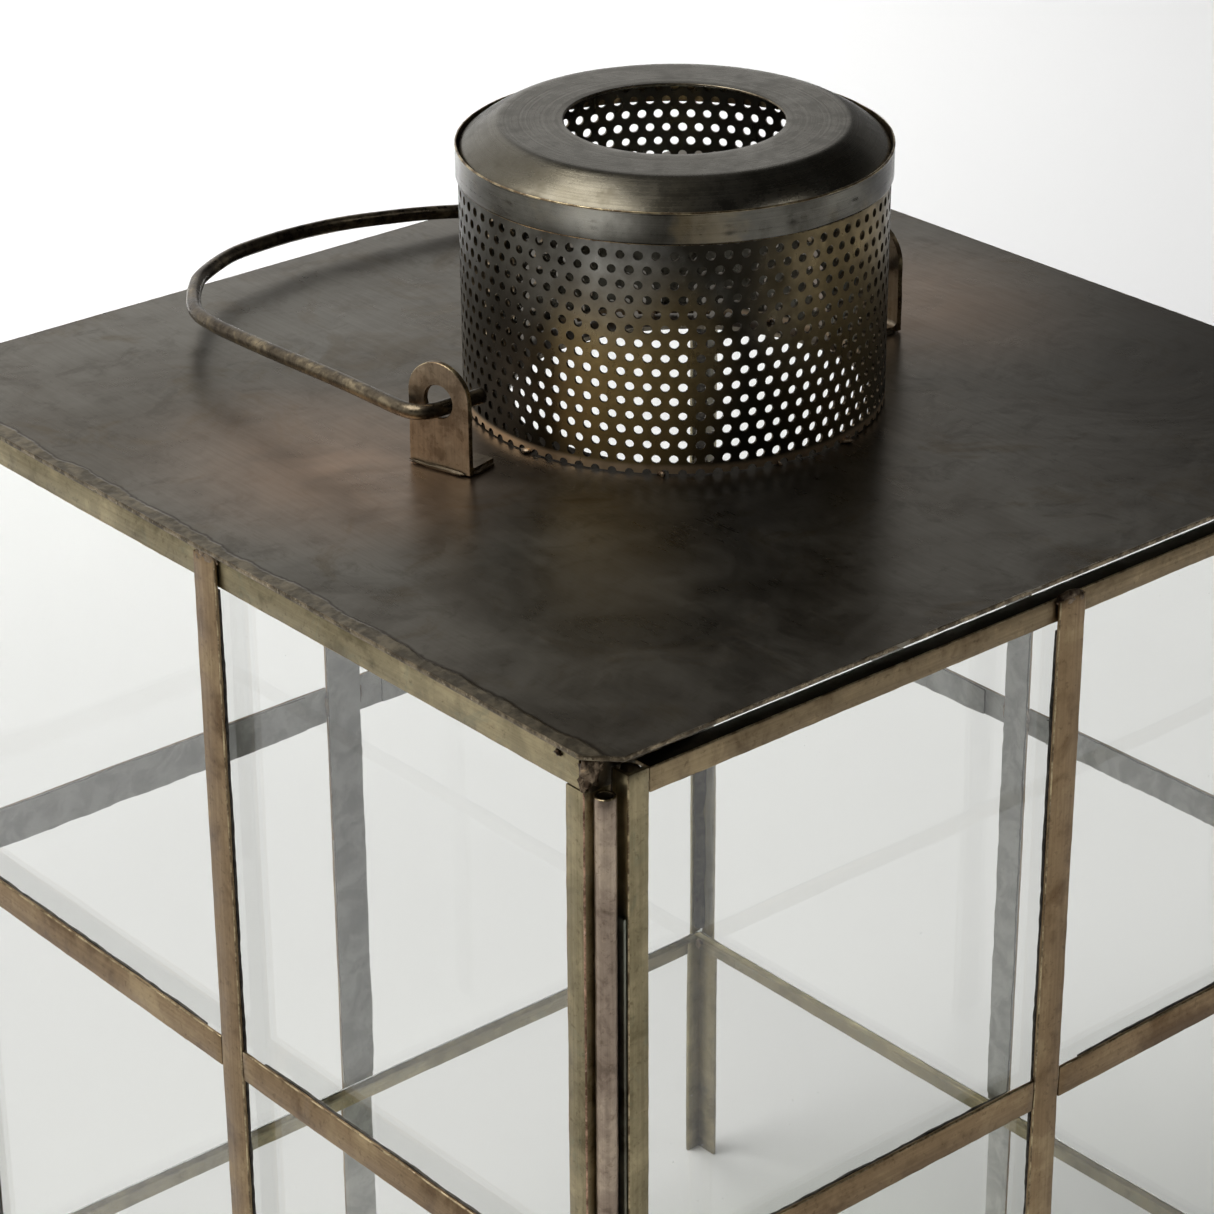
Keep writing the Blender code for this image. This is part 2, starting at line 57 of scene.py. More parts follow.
def mmbox(node):
    lo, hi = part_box(node)
    return lo * 1000.0, hi * 1000.0


ROOF_LO, ROOF_HI = mmbox("roof_plate")
ZT = ROOF_HI.z
HALF = ROOF_HI.x

# =============================================================== camera, light, floor
cam_data = bpy.data.cameras.new("camera")
cam_data.sensor_width = 36.0
cam_data.lens = 109.63
cam_data.clip_start = 0.01
cam = bpy.data.objects.new("camera", cam_data)
bpy.context.scene.collection.objects.link(cam)
cam.matrix_world = (
    Matrix.Translation((-0.46818, -0.53109, ZT * MM + 0.29439))
    @ Matrix.Rotation(math.radians(-40.46), 4, "Z")
    @ Matrix.Rotation(math.radians(90 - 25.87), 4, "X")
    @ Matrix.Rotation(math.radians(-0.3), 4, "Z")
)
bpy.context.scene.camera = cam
bpy.context.scene.view_settings.view_transform = "Standard"

world = bpy.data.worlds.new("studio")
bpy.context.scene.world = world
world.use_nodes = True
wt = world.node_tree
wt.nodes.clear()


def wn(kind, **props):
    n = wt.nodes.new(kind)
    for k, v in props.items():
        setattr(n, k, v)
    return n


w_co = wn("ShaderNodeTexCoord")
w_sep = wn("ShaderNodeSeparateXYZ")
wt.links.new(w_co.outputs["Generated"], w_sep.inputs[0])
# a white sweep up to about 20 degrees above the horizon, darkness over it
w_el = wn("ShaderNodeMapRange", interpolation_type="SMOOTHSTEP")
for i, v in zip(range(1, 5), (0.29, 0.44, 0.92, 0.13)):
    w_el.inputs[i].default_value = v
wt.links.new(w_sep.outputs["Z"], w_el.inputs[0])
# the sweep stands behind the lantern only; the camera's side of the room is dim
w_fd = wn("ShaderNodeVectorMath", operation="DOT_PRODUCT")
w_fd.inputs[1].default_value = (math.cos(math.radians(60)), math.sin(math.radians(60)), 0.0)
wt.links.new(w_co.outputs["Generated"], w_fd.inputs[0])
w_fm = wn("ShaderNodeMapRange", interpolation_type="SMOOTHSTEP")
for i, v in zip(range(1, 5), (-0.35, 0.45, 0.16, 1.0)):
    w_fm.inputs[i].default_value = v
wt.links.new(w_fd.outputs["Value"], w_fm.inputs[0])
w_rd = wn("ShaderNodeVectorMath", operation="DOT_PRODUCT")
w_rd.inputs[1].default_value = (math.cos(math.radians(-40)), math.sin(math.radians(-40)), 0.0)
wt.links.new(w_co.outputs["Generated"], w_rd.inputs[0])
w_rm = wn("ShaderNodeMapRange", interpolation_type="SMOOTHSTEP")
for i, v in zip(range(1, 5), (0.07, 0.17, 1.0, 0.20)):
    w_rm.inputs[i].default_value = v
wt.links.new(w_rd.outputs["Value"], w_rm.inputs[0])
w_e0 = wn("ShaderNodeMath", operation="MULTIPLY")
wt.links.new(w_el.outputs[0], w_e0.inputs[0])
wt.links.new(w_rm.outputs[0], w_e0.inputs[1])
w_em = wn("ShaderNodeMath", operation="MULTIPLY")
wt.links.new(w_e0.outputs[0], w_em.inputs[0])
wt.links.new(w_fm.outputs[0], w_em.inputs[1])
# a tall white panel to the left and behind
w_dot = wn("ShaderNodeVectorMath", operation="DOT_PRODUCT")
w_dot.inputs[1].default_value = (math.cos(math.radians(112)), math.sin(math.radians(112)), 0.0)
wt.links.new(w_co.outputs["Generated"], w_dot.inputs[0])
w_left = wn("ShaderNodeMapRange", interpolation_type="SMOOTHSTEP")
for i, v in zip(range(1, 5), (0.42, 0.66, 0.0, 0.85)):
    w_left.inputs[i].default_value = v
wt.links.new(w_dot.outputs["Value"], w_left.inputs[0])
w_top = wn("ShaderNodeMapRange", interpolation_type="SMOOTHSTEP")
for i, v in zip(range(1, 5), (0.60, 0.85, 1.0, 0.1)):
    w_top.inputs[i].default_value = v
wt.links.new(w_sep.outputs["Z"], w_top.inputs[0])
w_lt = wn("ShaderNodeMath", operation="MULTIPLY")
wt.links.new(w_left.outputs[0], w_lt.inputs[0])
wt.links.new(w_top.outputs[0], w_lt.inputs[1])
w_max = wn("ShaderNodeMath", operation="MAXIMUM")
wt.links.new(w_em.outputs[0], w_max.inputs[0])
wt.links.new(w_lt.outputs[0], w_max.inputs[1])
w_bg = wn("ShaderNodeBackground")
w_bg.inputs["Color"].default_value = (1.0, 0.995, 0.985, 1.0)
wt.links.new(w_max.outputs[0], w_bg.inputs["Strength"])
w_out = wn("ShaderNodeOutputWorld")
wt.links.new(w_bg.outputs[0], w_out.inputs[0])


def area(name, where, target, size, power, colour=(1, 1, 1)):
    d = bpy.data.lights.new(name, "AREA")
    d.shape = "RECTANGLE"
    d.size, d.size_y = size
    d.energy = power
    d.color = colour
    o = bpy.data.objects.new(name, d)
    bpy.context.scene.collection.objects.link(o)
    o.location = where
    o.rotation_euler = (Vector(target) - Vector(where)).to_track_quat("-Z", "Y").to_euler()
    return o


area("key_high", (-1.3, 0.9, 3.0), (0, 0, 0.0), (2.2, 1.8), 66.0)
wash = area("back_wash", (0.35, 1.9, 2.6), (0.45, 1.35, 0.0), (1.4, 1.0), 9.5)
wash.data.spread = math.radians(50)
front = area("front_wash", (1.0, -1.5, 2.2), (0.45, -0.85, 0.0), (0.9, 0.7), 1.5)
front.data.spread = math.radians(45)


# =============================================================== materials
class Mat:
    """A small builder for node materials in object space (metres)."""

    def __init__(self, name):
        self.m = bpy.data.materials.new(name)
        self.m.use_nodes = True
        self.t = self.m.node_tree
        self.bsdf = self.t.nodes["Principled BSDF"]
        self.co = self.t.nodes.new("ShaderNodeTexCoord").outputs["Object"]

    def node(self, kind, ins=(), **props):
        n = self.t.nodes.new(kind)
        for k, v in props.items():
            setattr(n, k, v)
        for key, v in dict(ins).items():
            self.put(n.inputs[key], v)
        return n

    def put(self, socket, v):
        if isinstance(v, bpy.types.NodeSocket):
            self.t.links.new(v, socket)
        else:
            socket.default_value = v

    def stretched(self, scale):
        return self.node("ShaderNodeMapping", {"Vector": self.co, "Scale": scale}).outputs[0]

    def noise(self, scale, detail=4.0, rough=0.55, vec=None, dist=0.0):
        n = self.node("ShaderNodeTexNoise", {"Vector": vec or self.co, "Scale": scale, "Detail": detail,
                                             "Roughness": rough, "Distortion": dist})
        return n.outputs["Fac"]

    def remap(self, v, a, b, c=0.0, d=1.0, smooth=True):
        n = self.node("ShaderNodeMapRange", {0: v, 1: a, 2: b, 3: c, 4: d},
                      interpolation_type="SMOOTHSTEP" if smooth else "LINEAR")
        return n.outputs[0]

    def math(self, op, a, b=0.0, clamp=False):
        n = self.node("ShaderNodeMath", {0: a, 1: b}, operation=op, use_clamp=clamp)
        return n.outputs[0]

    def mix(self, fac, a, b, kind="MIX"):
        n = self.t.nodes.new("ShaderNodeMix")
        n.data_type = "RGBA"
        n.blend_type = kind
        self.put(n.inputs[0], fac)
        for s, v in ((n.inputs[6], a), (n.inputs[7], b)):
            self.put(s, (*v, 1.0) if isinstance(v, tuple) and len(v) == 3 else v)
        return n.outputs[2]

    def spot(self, centre_mm, radius_mm, squash=(1, 1, 1)):
        """1 at a point of the object, falling to 0 at the radius."""
        d = self.node("ShaderNodeVectorMath", {0: self.co, 1: tuple(c * MM for c in centre_mm)}, operation="SUBTRACT")
        s = self.node("ShaderNodeVectorMath", {0: d.outputs[0], 1: tuple(squash)}, operation="MULTIPLY")
        l = self.node("ShaderNodeVectorMath", {0: s.outputs[0]}, operation="LENGTH")
        return self.remap(l.outputs["Value"], 0.0, radius_mm * MM, 1.0, 0.0)

    def bump(self, height, strength, dist):
        prev = self.bsdf.inputs["Normal"]
        ins = {"Height": height, "Strength": strength, "Distance": dist}
        if prev.is_linked:
            ins["Normal"] = prev.links[0].from_socket
        n = self.node("ShaderNodeBump", ins)
        self.t.links.new(n.outputs[0], prev)

    def finish(self, colour, rough, metal=1.0):
        self.put(self.bsdf.inputs["Base Color"], (*colour, 1.0) if isinstance(colour, tuple) else colour)
        self.put(self.bsdf.inputs["Roughness"], rough)
        self.bsdf.inputs["Metallic"].default_value = metal
        return self.m


def patina(name, dark, mid, light, rough=(0.30, 0.48), axis=None, cloud=26.0, mottle=170.0,
           streak=0.35, grain=0.25, verdigris=0.0, tint=None):
    """Antiqued brass: cloudy brown over gold, fine grain, brushing along one axis."""
    k = Mat(name)
    big = k.noise(cloud, 5.0, 0.6, dist=0.6)
    small = k.noise(mottle, 6.0, 0.62, dist=0.4)
    fine = k.noise(1400.0, 3.0, 0.6)
    blend = k.math("ADD", k.math("MULTIPLY", big, 0.55), k.math("MULTIPLY", small, 0.45))
    colour = k.mix(k.remap(blend, 0.38, 0.51), dark, mid)
    colour = k.mix(k.remap(blend, 0.50, 0.63), colour, light)
    if verdigris:
        g = k.remap(k.noise(90.0, 6.0, 0.7, dist=1.2), 0.54, 0.68, 0.0, verdigris)
        colour = k.mix(g, colour, (0.21, 0.24, 0.17))
    if tint:
        for centre, radius, squash, shade, amount in tint:
            w = k.math("MULTIPLY", k.spot(centre, radius, squash), k.remap(small, 0.25, 0.75, 0.6, 1.0))
            colour = k.mix(k.math("MULTIPLY", w, amount), colour, shade)
    if axis is not None:
        scale = [1.0, 1.0, 1.0]
        scale[axis] = 0.02
        st = k.noise(1700.0, 4.0, 0.65, vec=k.stretched(tuple(scale)))
    else:
        st = k.noise(900.0, 5.0, 0.7)
    colour = k.mix(k.remap(st, 0.30, 0.70, 0.0, streak), colour, k.mix(1.0, colour, (0.55, 0.52, 0.48), "MULTIPLY"))
    colour = k.mix(k.remap(fine, 0.62, 0.78, 0.0, grain), colour, k.mix(1.0, colour, (1.7, 1.6, 1.4), "MULTIPLY"))
    pits = k.noise(780.0, 5.0, 0.7, dist=0.5)
    colour = k.mix(k.remap(pits, 0.54, 0.70, 0.0, 0.55), colour, k.mix(1.0, colour, (0.42, 0.38, 0.33), "MULTIPLY"))
    r = k.math("ADD", k.remap(small, 0.3, 0.7, rough[0], rough[1]), k.remap(st, 0.3, 0.7, -0.04, 0.06))
    k.bump(st, 0.10, 0.00006)
    k.bump(fine, 0.12, 0.00005)
    k.bump(small, 0.25, 0.00012)
    return k.finish(colour, r)


# face and edge colours of the two kinds of bar
M_FRAME = {
    a: patina(f"frame_brass_{'xyz'[a]}", (0.165, 0.134, 0.072), (0.310, 0.262, 0.155), (0.47, 0.395, 0.24),
              axis=a, verdigris=0.35)
    for a in (0, 1, 2)
}
M_STRIP = {
    a: patina(f"strip_brass_{'xyz'[a]}", (0.165, 0.104, 0.054), (0.310, 0.216, 0.122), (0.46, 0.345, 0.20),
              axis=a, mottle=120.0)
    for a in (0, 1, 2)
}


def edge_metal(name, dark, bright, glint):
    """Worn bare metal along the edges, broken by dark tarnish."""
    k = Mat(name)
    n = k.noise(260.0, 6.0, 0.7)
    f = k.noise(1100.0, 4.0, 0.6)
    c = k.mix(k.remap(n, 0.40, 0.64), dark, bright)
    c = k.mix(k.remap(f, 0.55, 0.75, 0.0, 0.5), c, glint)
    k.bump(f, 0.3, 0.00008)
    return k.finish(c, k.remap(n, 0.3, 0.7, 0.42, 0.26))


M_EDGE = edge_metal("worn_edge", (0.15, 0.105, 0.062), (0.52, 0.42, 0.25), (0.72, 0.61, 0.42))
M_COPPER = edge_metal("copper_edge", (0.14, 0.080, 0.052), (0.56, 0.35, 0.24), (0.85, 0.62, 0.50))
M_RIM = edge_metal("roof_edge", (0.075, 0.058, 0.038), (0.27, 0.215, 0.14), (0.66, 0.56, 0.40))


def solder_metal():
    k = Mat("solder")
    n = k.noise(420.0, 6.0, 0.65, dist=0.8)
    f = k.noise(1500.0, 4.0, 0.6)
    c = k.mix(k.remap(n, 0.38, 0.58), (0.070, 0.046, 0.030), (0.25, 0.19, 0.13))
    c = k.mix(k.remap(n, 0.58, 0.72), c, (0.55, 0.40, 0.24))
    k.bump(n, 0.6, 0.0003)
    k.bump(f, 0.3, 0.0001)
    return k.finish(c, k.remap(f, 0.3, 0.7, 0.26, 0.5))


M_SOLDER = solder_metal()


def cement():
    """Dark putty that shows in a ragged line beside the strips."""
    k = Mat("dark_cement")
    n = k.noise(500.0, 6.0, 0.7)
    c = k.mix(k.remap(n, 0.35, 0.65), (0.035, 0.030, 0.025), (0.115, 0.100, 0.082))
    k.bump(n, 0.6, 0.0003)
    return k.finish(c, 0.62, 0.25)


M_CEMENT = cement()

EAR_L = mmbox("bail_ear_left")
EAR_R = mmbox("bail_ear_right")


def roof_metal():
    """Dark oxidised sheet: brown clouds, warm halos round the ears, painted patches of reflection and shade, a rubbed
    margin.
    """
    k = Mat("roof_patina")
    big = k.noise(14.0, 5.0, 0.55, dist=0.8)
    mid = k.noise(55.0, 6.0, 0.62, dist=0.6)
    small = k.noise(320.0, 5.0, 0.6)
    fine = k.noise(1800.0, 3.0, 0.6)
    blend = k.math("ADD", k.math("MULTIPLY", big, 0.5), k.math("MULTIPLY", mid, 0.5))
    c = k.mix(k.remap(blend, 0.36, 0.64), (0.172, 0.150, 0.116), (0.262, 0.244, 0.206))
    c = k.mix(k.remap(k.noise(38.0, 7.0, 0.7, dist=1.5), 0.52, 0.68, 0.0, 0.55), c, (0.150, 0.108, 0.050))
    c = k.mix(k.remap(k.noise(115.0, 7.0, 0.72, dist=0.8), 0.50, 0.66, 0.0, 0.40), c, (0.075, 0.060, 0.036))
    for centre, radius, squash, amount in (
        ((EAR_L[0].x - 12, 14, ZT), 46, (1.0, 0.8, 1.0), 0.95),
        ((EAR_R[1].x + 14, 4, ZT), 44, (1.0, 0.8, 1.0), 0.85),
    ):
        w = k.math("MULTIPLY", k.spot(centre, radius, squash), k.remap(mid, 0.3, 0.7, 0.65, 1.0))
        c = k.mix(k.math("MULTIPLY", w, amount), c, (0.52, 0.37, 0.265))
    # painted reflection: a dark patch at the front right and lighter patches at the front left and at the back stand in
    # for the roof's uneven reflection of the room
    for centre, radius, squash, shade, amount in (
        ((106, -86, ZT), 102, (1.0, 0.85, 1.0), (0.060, 0.053, 0.039), 0.92),
        ((-76, -76, ZT), 60, (1.0, 1.0, 1.0), (0.33, 0.30, 0.245), 0.50),
        ((-20, 92, ZT), 60, (1.0, 1.0, 1.0), (0.34, 0.32, 0.28), 0.45),
    ):
        w = k.math("MULTIPLY", k.spot(centre, radius, squash), k.remap(mid, 0.3, 0.7, 0.7, 1.0))
        c = k.mix(k.math("MULTIPLY", w, amount), c, shade)
    ring = k.spot((4, -0.6, ZT), 78, (1, 1, 1))
    c = k.mix(k.math("MULTIPLY", ring, 0.45), c, (0.085, 0.055, 0.025))
    # fine rolled grain of the sheet, along one edge
    grain = k.noise(1500.0, 4.0, 0.65, vec=k.stretched((1.0, 0.04, 1.0)))
    c = k.mix(k.remap(grain, 0.3, 0.7, 0.0, 0.22), c, k.mix(1.0, c, (0.6, 0.58, 0.55), "MULTIPLY"))
    # rubbed margin beside the soldered edges
    sep = k.node("ShaderNodeSeparateXYZ", {0: k.co})
    wob = k.remap(k.noise(70.0, 4.0, 0.6), 0.3, 0.7, -0.0009, 0.0012, smooth=False)
    left = k.math("ADD", k.math("ADD", sep.outputs["X"], HALF * MM), wob)
    margin = k.remap(left, 0.0030, 0.0037, 1.0, 0.0)
    line = k.math("MULTIPLY", k.remap(left, 0.0033, 0.0036, 0.0, 1.0), k.remap(left, 0.0037, 0.0043, 1.0, 0.0))
    gritty = k.mix(k.remap(small, 0.35, 0.65), (0.115, 0.095, 0.062), (0.30, 0.25, 0.165))
    c = k.mix(k.math("MULTIPLY", margin, 0.75), c, gritty)
    c = k.mix(k.math("MULTIPLY", line, 0.7), c, (0.05, 0.035, 0.022))
    rough = k.math("ADD", k.remap(mid, 0.3, 0.7, 0.27, 0.36), k.remap(grain, 0.3, 0.7, -0.02, 0.03))
    rough = k.math("ADD", rough, k.math("MULTIPLY", margin, 0.10))
    k.bump(big, 0.35, 0.0012)
    k.bump(mid, 0.10, 0.0003)
    k.bump(grain, 0.06, 0.00005)
    k.bump(fine, 0.05, 0.00004)
    k.bump(k.math("MULTIPLY", margin, small), 0.5, 0.0004)
    return k.finish(c, rough)


M_ROOF = roof_metal()

CH_LO, CH_HI = mmbox("chimney_tube")
CX, CY = (CH_LO.x + CH_HI.x) / 2, (CH_LO.y + CH_HI.y) / 2
CR = (CH_HI.x - CH_LO.x) / 2


def chimney_metal():
    k = Mat("chimney_sheet")
    big = k.noise(34.0, 5.0, 0.6, dist=0.7)
    mid = k.noise(150.0, 6.0, 0.65)
    fine = k.noise(1600.0, 3.0, 0.6)
    st = k.noise(900.0, 4.0, 0.6, vec=k.stretched((1.0, 1.0, 0.06)))
    c = k.mix(k.remap(big, 0.36, 0.62), (0.034, 0.030, 0.023), (0.074, 0.070, 0.058))
    c = k.mix(k.remap(mid, 0.42, 0.70, 0.0, 0.7), c, (0.030, 0.025, 0.016))
    # painted highlights: gold and silvery patches stand in for light reflected off the wall
    for deg, height, radius, squash, shade, amount in (
        (-143, 17, 25, (1, 1, 0.8), (1.0, 0.72, 0.30), 1.0),     # painted gold highlight low on the left
        (-77, 26, 30, (1, 1, 0.55), (0.56, 0.42, 0.20), 0.85),   # painted gold highlight on the right
        (-147, 41, 15, (1, 1, 0.75), (0.52, 0.51, 0.47), 0.85),    # painted silvery highlight under the band
        (-168, 40, 18, (1, 1, 0.9), (0.18, 0.172, 0.15), 0.60),
    ):
        a = math.radians(deg)
        w = k.spot((CX + CR * math.cos(a), CY + CR * math.sin(a), CH_LO.z + height), radius, squash)
        w = k.math("MULTIPLY", w, k.remap(mid, 0.25, 0.7, 1.0, 0.55))
        c = k.mix(k.math("MULTIPLY", w, amount), c, shade)
    sep = k.node("ShaderNodeSeparateXYZ", {0: k.co})
    foot = k.remap(sep.outputs["Z"], (CH_LO.z + 1.1) * MM, (CH_LO.z + 2.3) * MM, 0.95, 0.0)
    c = k.mix(foot, c, (0.86, 0.66, 0.46))
    rough = k.math("ADD", k.remap(mid, 0.3, 0.7, 0.26, 0.42), k.remap(st, 0.3, 0.7, -0.03, 0.05))
    k.bump(big, 0.4, 0.0008)
    k.bump(st, 0.12, 0.00006)
    k.bump(fine, 0.10, 0.00005)
    return k.finish(c, rough)


M_CHIMNEY = chimney_metal()


def turned_metal(name, dark, light, rough, gold=0.0, painted_highlights=()):
    """Metal brushed round the chimney's axis: the grain is noise over radius and height."""
    k = Mat(name)
    d = k.node("ShaderNodeVectorMath", {0: k.co, 1: (CX * MM, CY * MM, 0.0)}, operation="SUBTRACT")
    sep = k.node("ShaderNodeSeparateXYZ", {0: d.outputs[0]})
    r = k.math("SQRT", k.math("ADD", k.math("MULTIPLY", sep.outputs["X"], sep.outputs["X"]),
                              k.math("MULTIPLY", sep.outputs["Y"], sep.outputs["Y"])))
    far = k.noise(3.0, 2.0, 0.5)
    co = k.node("ShaderNodeCombineXYZ", {0: r, 1: sep.outputs["Z"], 2: k.math("MULTIPLY", far, 0.002)})
    rings = k.noise(2600.0, 5.0, 0.7, vec=co.outputs[0])
    big = k.noise(30.0, 5.0, 0.6, dist=0.5)
    mid = k.noise(220.0, 6.0, 0.65)
    c = k.mix(k.remap(big, 0.35, 0.65), dark, light)
    c = k.mix(k.remap(mid, 0.52, 0.74, 0.0, 0.5), c, k.mix(1.0, c, (0.5, 0.47, 0.4), "MULTIPLY"))
    c = k.mix(k.remap(rings, 0.30, 0.70, 0.0, 0.4), c, k.mix(1.0, c, (0.6, 0.58, 0.55), "MULTIPLY"))
    if gold:
        c = k.mix(k.remap(k.noise(60.0, 4.0, 0.6), 0.50, 0.66, 0.0, gold), c, (0.62, 0.46, 0.22))
    for deg, radius, shade, amount in painted_highlights:  # places on the band painted brighter as painted highlights
        a = math.radians(deg)
        w = k.spot((CX + CR * math.cos(a), CY + CR * math.sin(a), CH_HI.z - 0.5), radius, (1.0, 1.0, 2.2))
        w = k.math("MULTIPLY", w, k.remap(k.noise(120.0, 5.0, 0.6), 0.3, 0.62, 0.55, 1.0))
        c = k.mix(k.math("MULTIPLY", w, amount), c, shade)
    k.bump(rings, 0.16, 0.00007)
    k.bump(big, 0.25, 0.0005)
    return k.finish(c, k.math("ADD", k.remap(mid, 0.3, 0.7, rough[0], rough[1]), k.remap(rings, 0.3, 0.7, -0.03, 0.05)))


M_CAP = turned_metal("cap_patina", (0.115, 0.102, 0.074), (0.165, 0.152, 0.122), (0.22, 0.31))
# the band's lighter spots are painted highlights
M_BAND = turned_metal("band_brass", (0.040, 0.036, 0.028), (0.145, 0.139, 0.120), (0.16, 0.26), gold=0.14,
                      painted_highlights=((-151, 15, (0.62, 0.60, 0.53), 0.80), (-172, 13, (0.30, 0.29, 0.25), 0.35),
                              (-84, 12, (0.34, 0.325, 0.28), 0.4)))

M_EAR = patina("ear_brass", (0.21, 0.165, 0.118), (0.36, 0.292, 0.212), (0.50, 0.415, 0.305), rough=(0.30, 0.44),
               axis=2, cloud=60.0, mottle=300.0)
M_WIRE = patina("wire_brass", (0.062, 0.047, 0.030), (0.125, 0.100, 0.068), (0.29, 0.235, 0.15), rough=(0.24, 0.38),
                cloud=90.0, mottle=420.0)
M_TUBE = patina("tube_brass", (0.22, 0.165, 0.125), (0.40, 0.315, 0.245), (0.58, 0.47, 0.36), rough=(0.30, 0.46),
                axis=2, cloud=45.0, mottle=300.0)
M_LEAF = patina("leaf_verdigris", (0.090, 0.080, 0.056), (0.185, 0.175, 0.135), (0.30, 0.28, 0.21), rough=(0.40, 0.6),
                axis=2, cloud=60.0, verdigris=0.0, tint=[((-108.2, -112.0, 262.0), 26, (1, 1, 1), (0.33, 0.36, 0.30), 0.75)])
M_DARKBRASS = patina("dark_brass", (0.060, 0.046, 0.030), (0.115, 0.092, 0.062), (0.20, 0.16, 0.11),
                     rough=(0.35, 0.55), cloud=60.0)


def clear_glass():
    """Clear float glass with a little dust, faint wiping marks and fine scratches."""
    k = Mat("clear_glass")
    dust = k.noise(1600.0, 2.0, 0.5)
    area_ = k.noise(18.0, 4.0, 0.6)
    specks = k.math("MULTIPLY", k.remap(dust, 0.735, 0.79), k.remap(area_, 0.50, 0.66))
    wave = k.noise(9.0, 2.0, 0.5)
    k.bump(wave, 0.08, 0.004)
    k.bsdf.inputs["IOR"].default_value = 1.5
    k.put(k.bsdf.inputs["Transmission Weight"], k.math("SUBTRACT", 1.0, k.math("MULTIPLY", specks, 0.8)))
    k.finish((0.986, 0.991, 0.977), 0.0, 0.0)
    # the lamps' light passes straight through to what is behind the pane
    path = k.node("ShaderNodeLightPath")
    clear = k.node("ShaderNodeBsdfTransparent", {"Color": (0.90, 0.91, 0.89, 1.0)})
    mix = k.node("ShaderNodeMixShader", {0: path.outputs["Is Shadow Ray"], 1: k.bsdf.outputs[0], 2: clear.outputs[0]})
    out = next(n for n in k.t.nodes if n.type == "OUTPUT_MATERIAL")
    k.t.links.new(mix.outputs[0], out.inputs["Surface"])
    return k.m


M_GLASS = clear_glass()


# =============================================================== mesh helpers
def rnd(*k):
    """A steady number from -1 to 1 for the given keys."""
    return 2.0 * noise.cell(Vector((k[0] * 12.9898 + 0.37, (k[1] if len(k) > 1 else 0.0) * 7.233 + 0.71,
                                    (k[2] if len(k) > 2 else 0.0) * 3.117 + 0.13))) - 1.0


def wob(p, scale, seed=0.0):
    """Smooth noise from about -1 to 1 at a point in mm; scale is the size of its waves in mm."""
    return noise.noise(Vector(p) / scale + Vector((seed * 3.71, seed * 1.37, -seed * 2.13))) * 1.6


def link(name, bm, mats, body, smooth=40):
    me = bpy.data.meshes.new(name)
    bmesh.ops.recalc_face_normals(bm, faces=bm.faces)
    bmesh.ops.scale(bm, verts=bm.verts, vec=(MM, MM, MM))
    bm.to_mesh(me)
    bm.free()
    for m in mats:
        me.materials.append(m)
    me.shade_smooth()
    me.set_sharp_from_angle(angle=math.radians(smooth))
    o = bpy.data.objects.new(name, me)
    bpy.context.scene.collection.objects.link(o)
    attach(o, body)
    return o


def rounded(outline, r):
    """The outline with its convex corners rounded by two cuts: points with a flag, 1 on a rounded corner."""
    n = len(outline)
    area_ = sum(outline[i][0] * outline[(i + 1) % n][1] - outline[(i + 1) % n][0] * outline[i][1] for i in range(n))
    turn = 1 if area_ > 0 else -1
    out = []
    for i in range(n):
        p, a, b = (Vector(outline[j % n]) for j in (i, i - 1, i + 1))
        u, v = (a - p).normalized(), (b - p).normalized()
        cross = ((p - a).x * (b - p).y - (p - a).y * (b - p).x) * turn
        if cross <= 0:
            out.append((p, 0))
            continue
        out.append((p + u * r, 1))
        out.append((p + (u + v) * r * 0.29, 1))
        out.append((p + v * r, 0))
    return out


def bar(name, outline, axis, a0, a1, mats, body, replaces, r=0.22, step=2.4, amp=0.05, seed=0.0, edges=None):
    """A hand-made bar: rounded outline swept along an axis, its faces and worn edges slightly uneven.
    mats is (face metal, edge metal). edges limits the bright edge to corners near the given outline corners."""
    pts = rounded(outline, r)
    n = len(pts)
    iu, iv = {0: (1, 2), 1: (0, 2), 2: (0, 1)}[axis]
    cu = sum(p[0].x for p in pts) / n
    cv = sum(p[0].y for p in pts) / n
    # outward direction at each point of the outline
    sgn = 1 if sum(pts[i][0].x * pts[(i + 1) % n][0].y - pts[(i + 1) % n][0].x * pts[i][0].y for i in range(n)) > 0 else -1
    normals = []
    for i in range(n):
        a, b = pts[i - 1][0], pts[(i + 1) % n][0]
        t = (b - a).normalized()
        normals.append(Vector((t.y, -t.x)) * sgn)
    count = max(3, int(abs(a1 - a0) / step))
    stations = [(a0, 1.0), (a0 + 0.12 * (1 if a1 > a0 else -1), 0.35)]
    stations += [(a0 + (a1 - a0) * i / count, 0.0) for i in range(1, count)]
    stations += [(a1 - 0.12 * (1 if a1 > a0 else -1), 0.35), (a1, 1.0)]
    bm = bmesh.new()
    rings = []
    for s, inset in stations:
        ring = []
        for (p, flag), nn in zip(pts, normals):
            q = [0.0, 0.0, 0.0]
            q[axis], q[iu], q[iv] = s, p.x, p.y
            d = wob(q, 26.0, seed) * amp * 0.9 + wob(q, 5.0, seed + 5) * amp * 0.5
            if flag:
                d += wob(q, 2.6, seed + 9) * amp * 0.9 - amp * 0.4
            d = max(-0.14, min(0.12, d)) - inset * 0.12
            q[iu] += nn.x * d
            q[iv] += nn.y * d
            ring.append(bm.verts.new(q))
        rings.append(ring)
    for ra, rb_ in zip(rings, rings[1:]):
        for i in range(n):
            j = (i + 1) % n
            f = bm.faces.new((ra[i], ra[j], rb_[j], rb_[i]))
            if pts[i][1]:
                ok = True
                if edges is not None:
                    ok = any((pts[i][0] - Vector(e)).length < 2.2 * r for e in edges)
                f.material_index = 1 if ok else 0
    bm.faces.new(rings[0]).material_index = 0
    bm.faces.new(rings[-1]).material_index = 0
    o = link(name, bm, mats, body)
    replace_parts(o, replaces)
    return o


def rect(lo, hi, iu, iv):
    return [(lo[iu], lo[iv]), (hi[iu], lo[iv]), (hi[iu], hi[iv]), (lo[iu], hi[iv])]


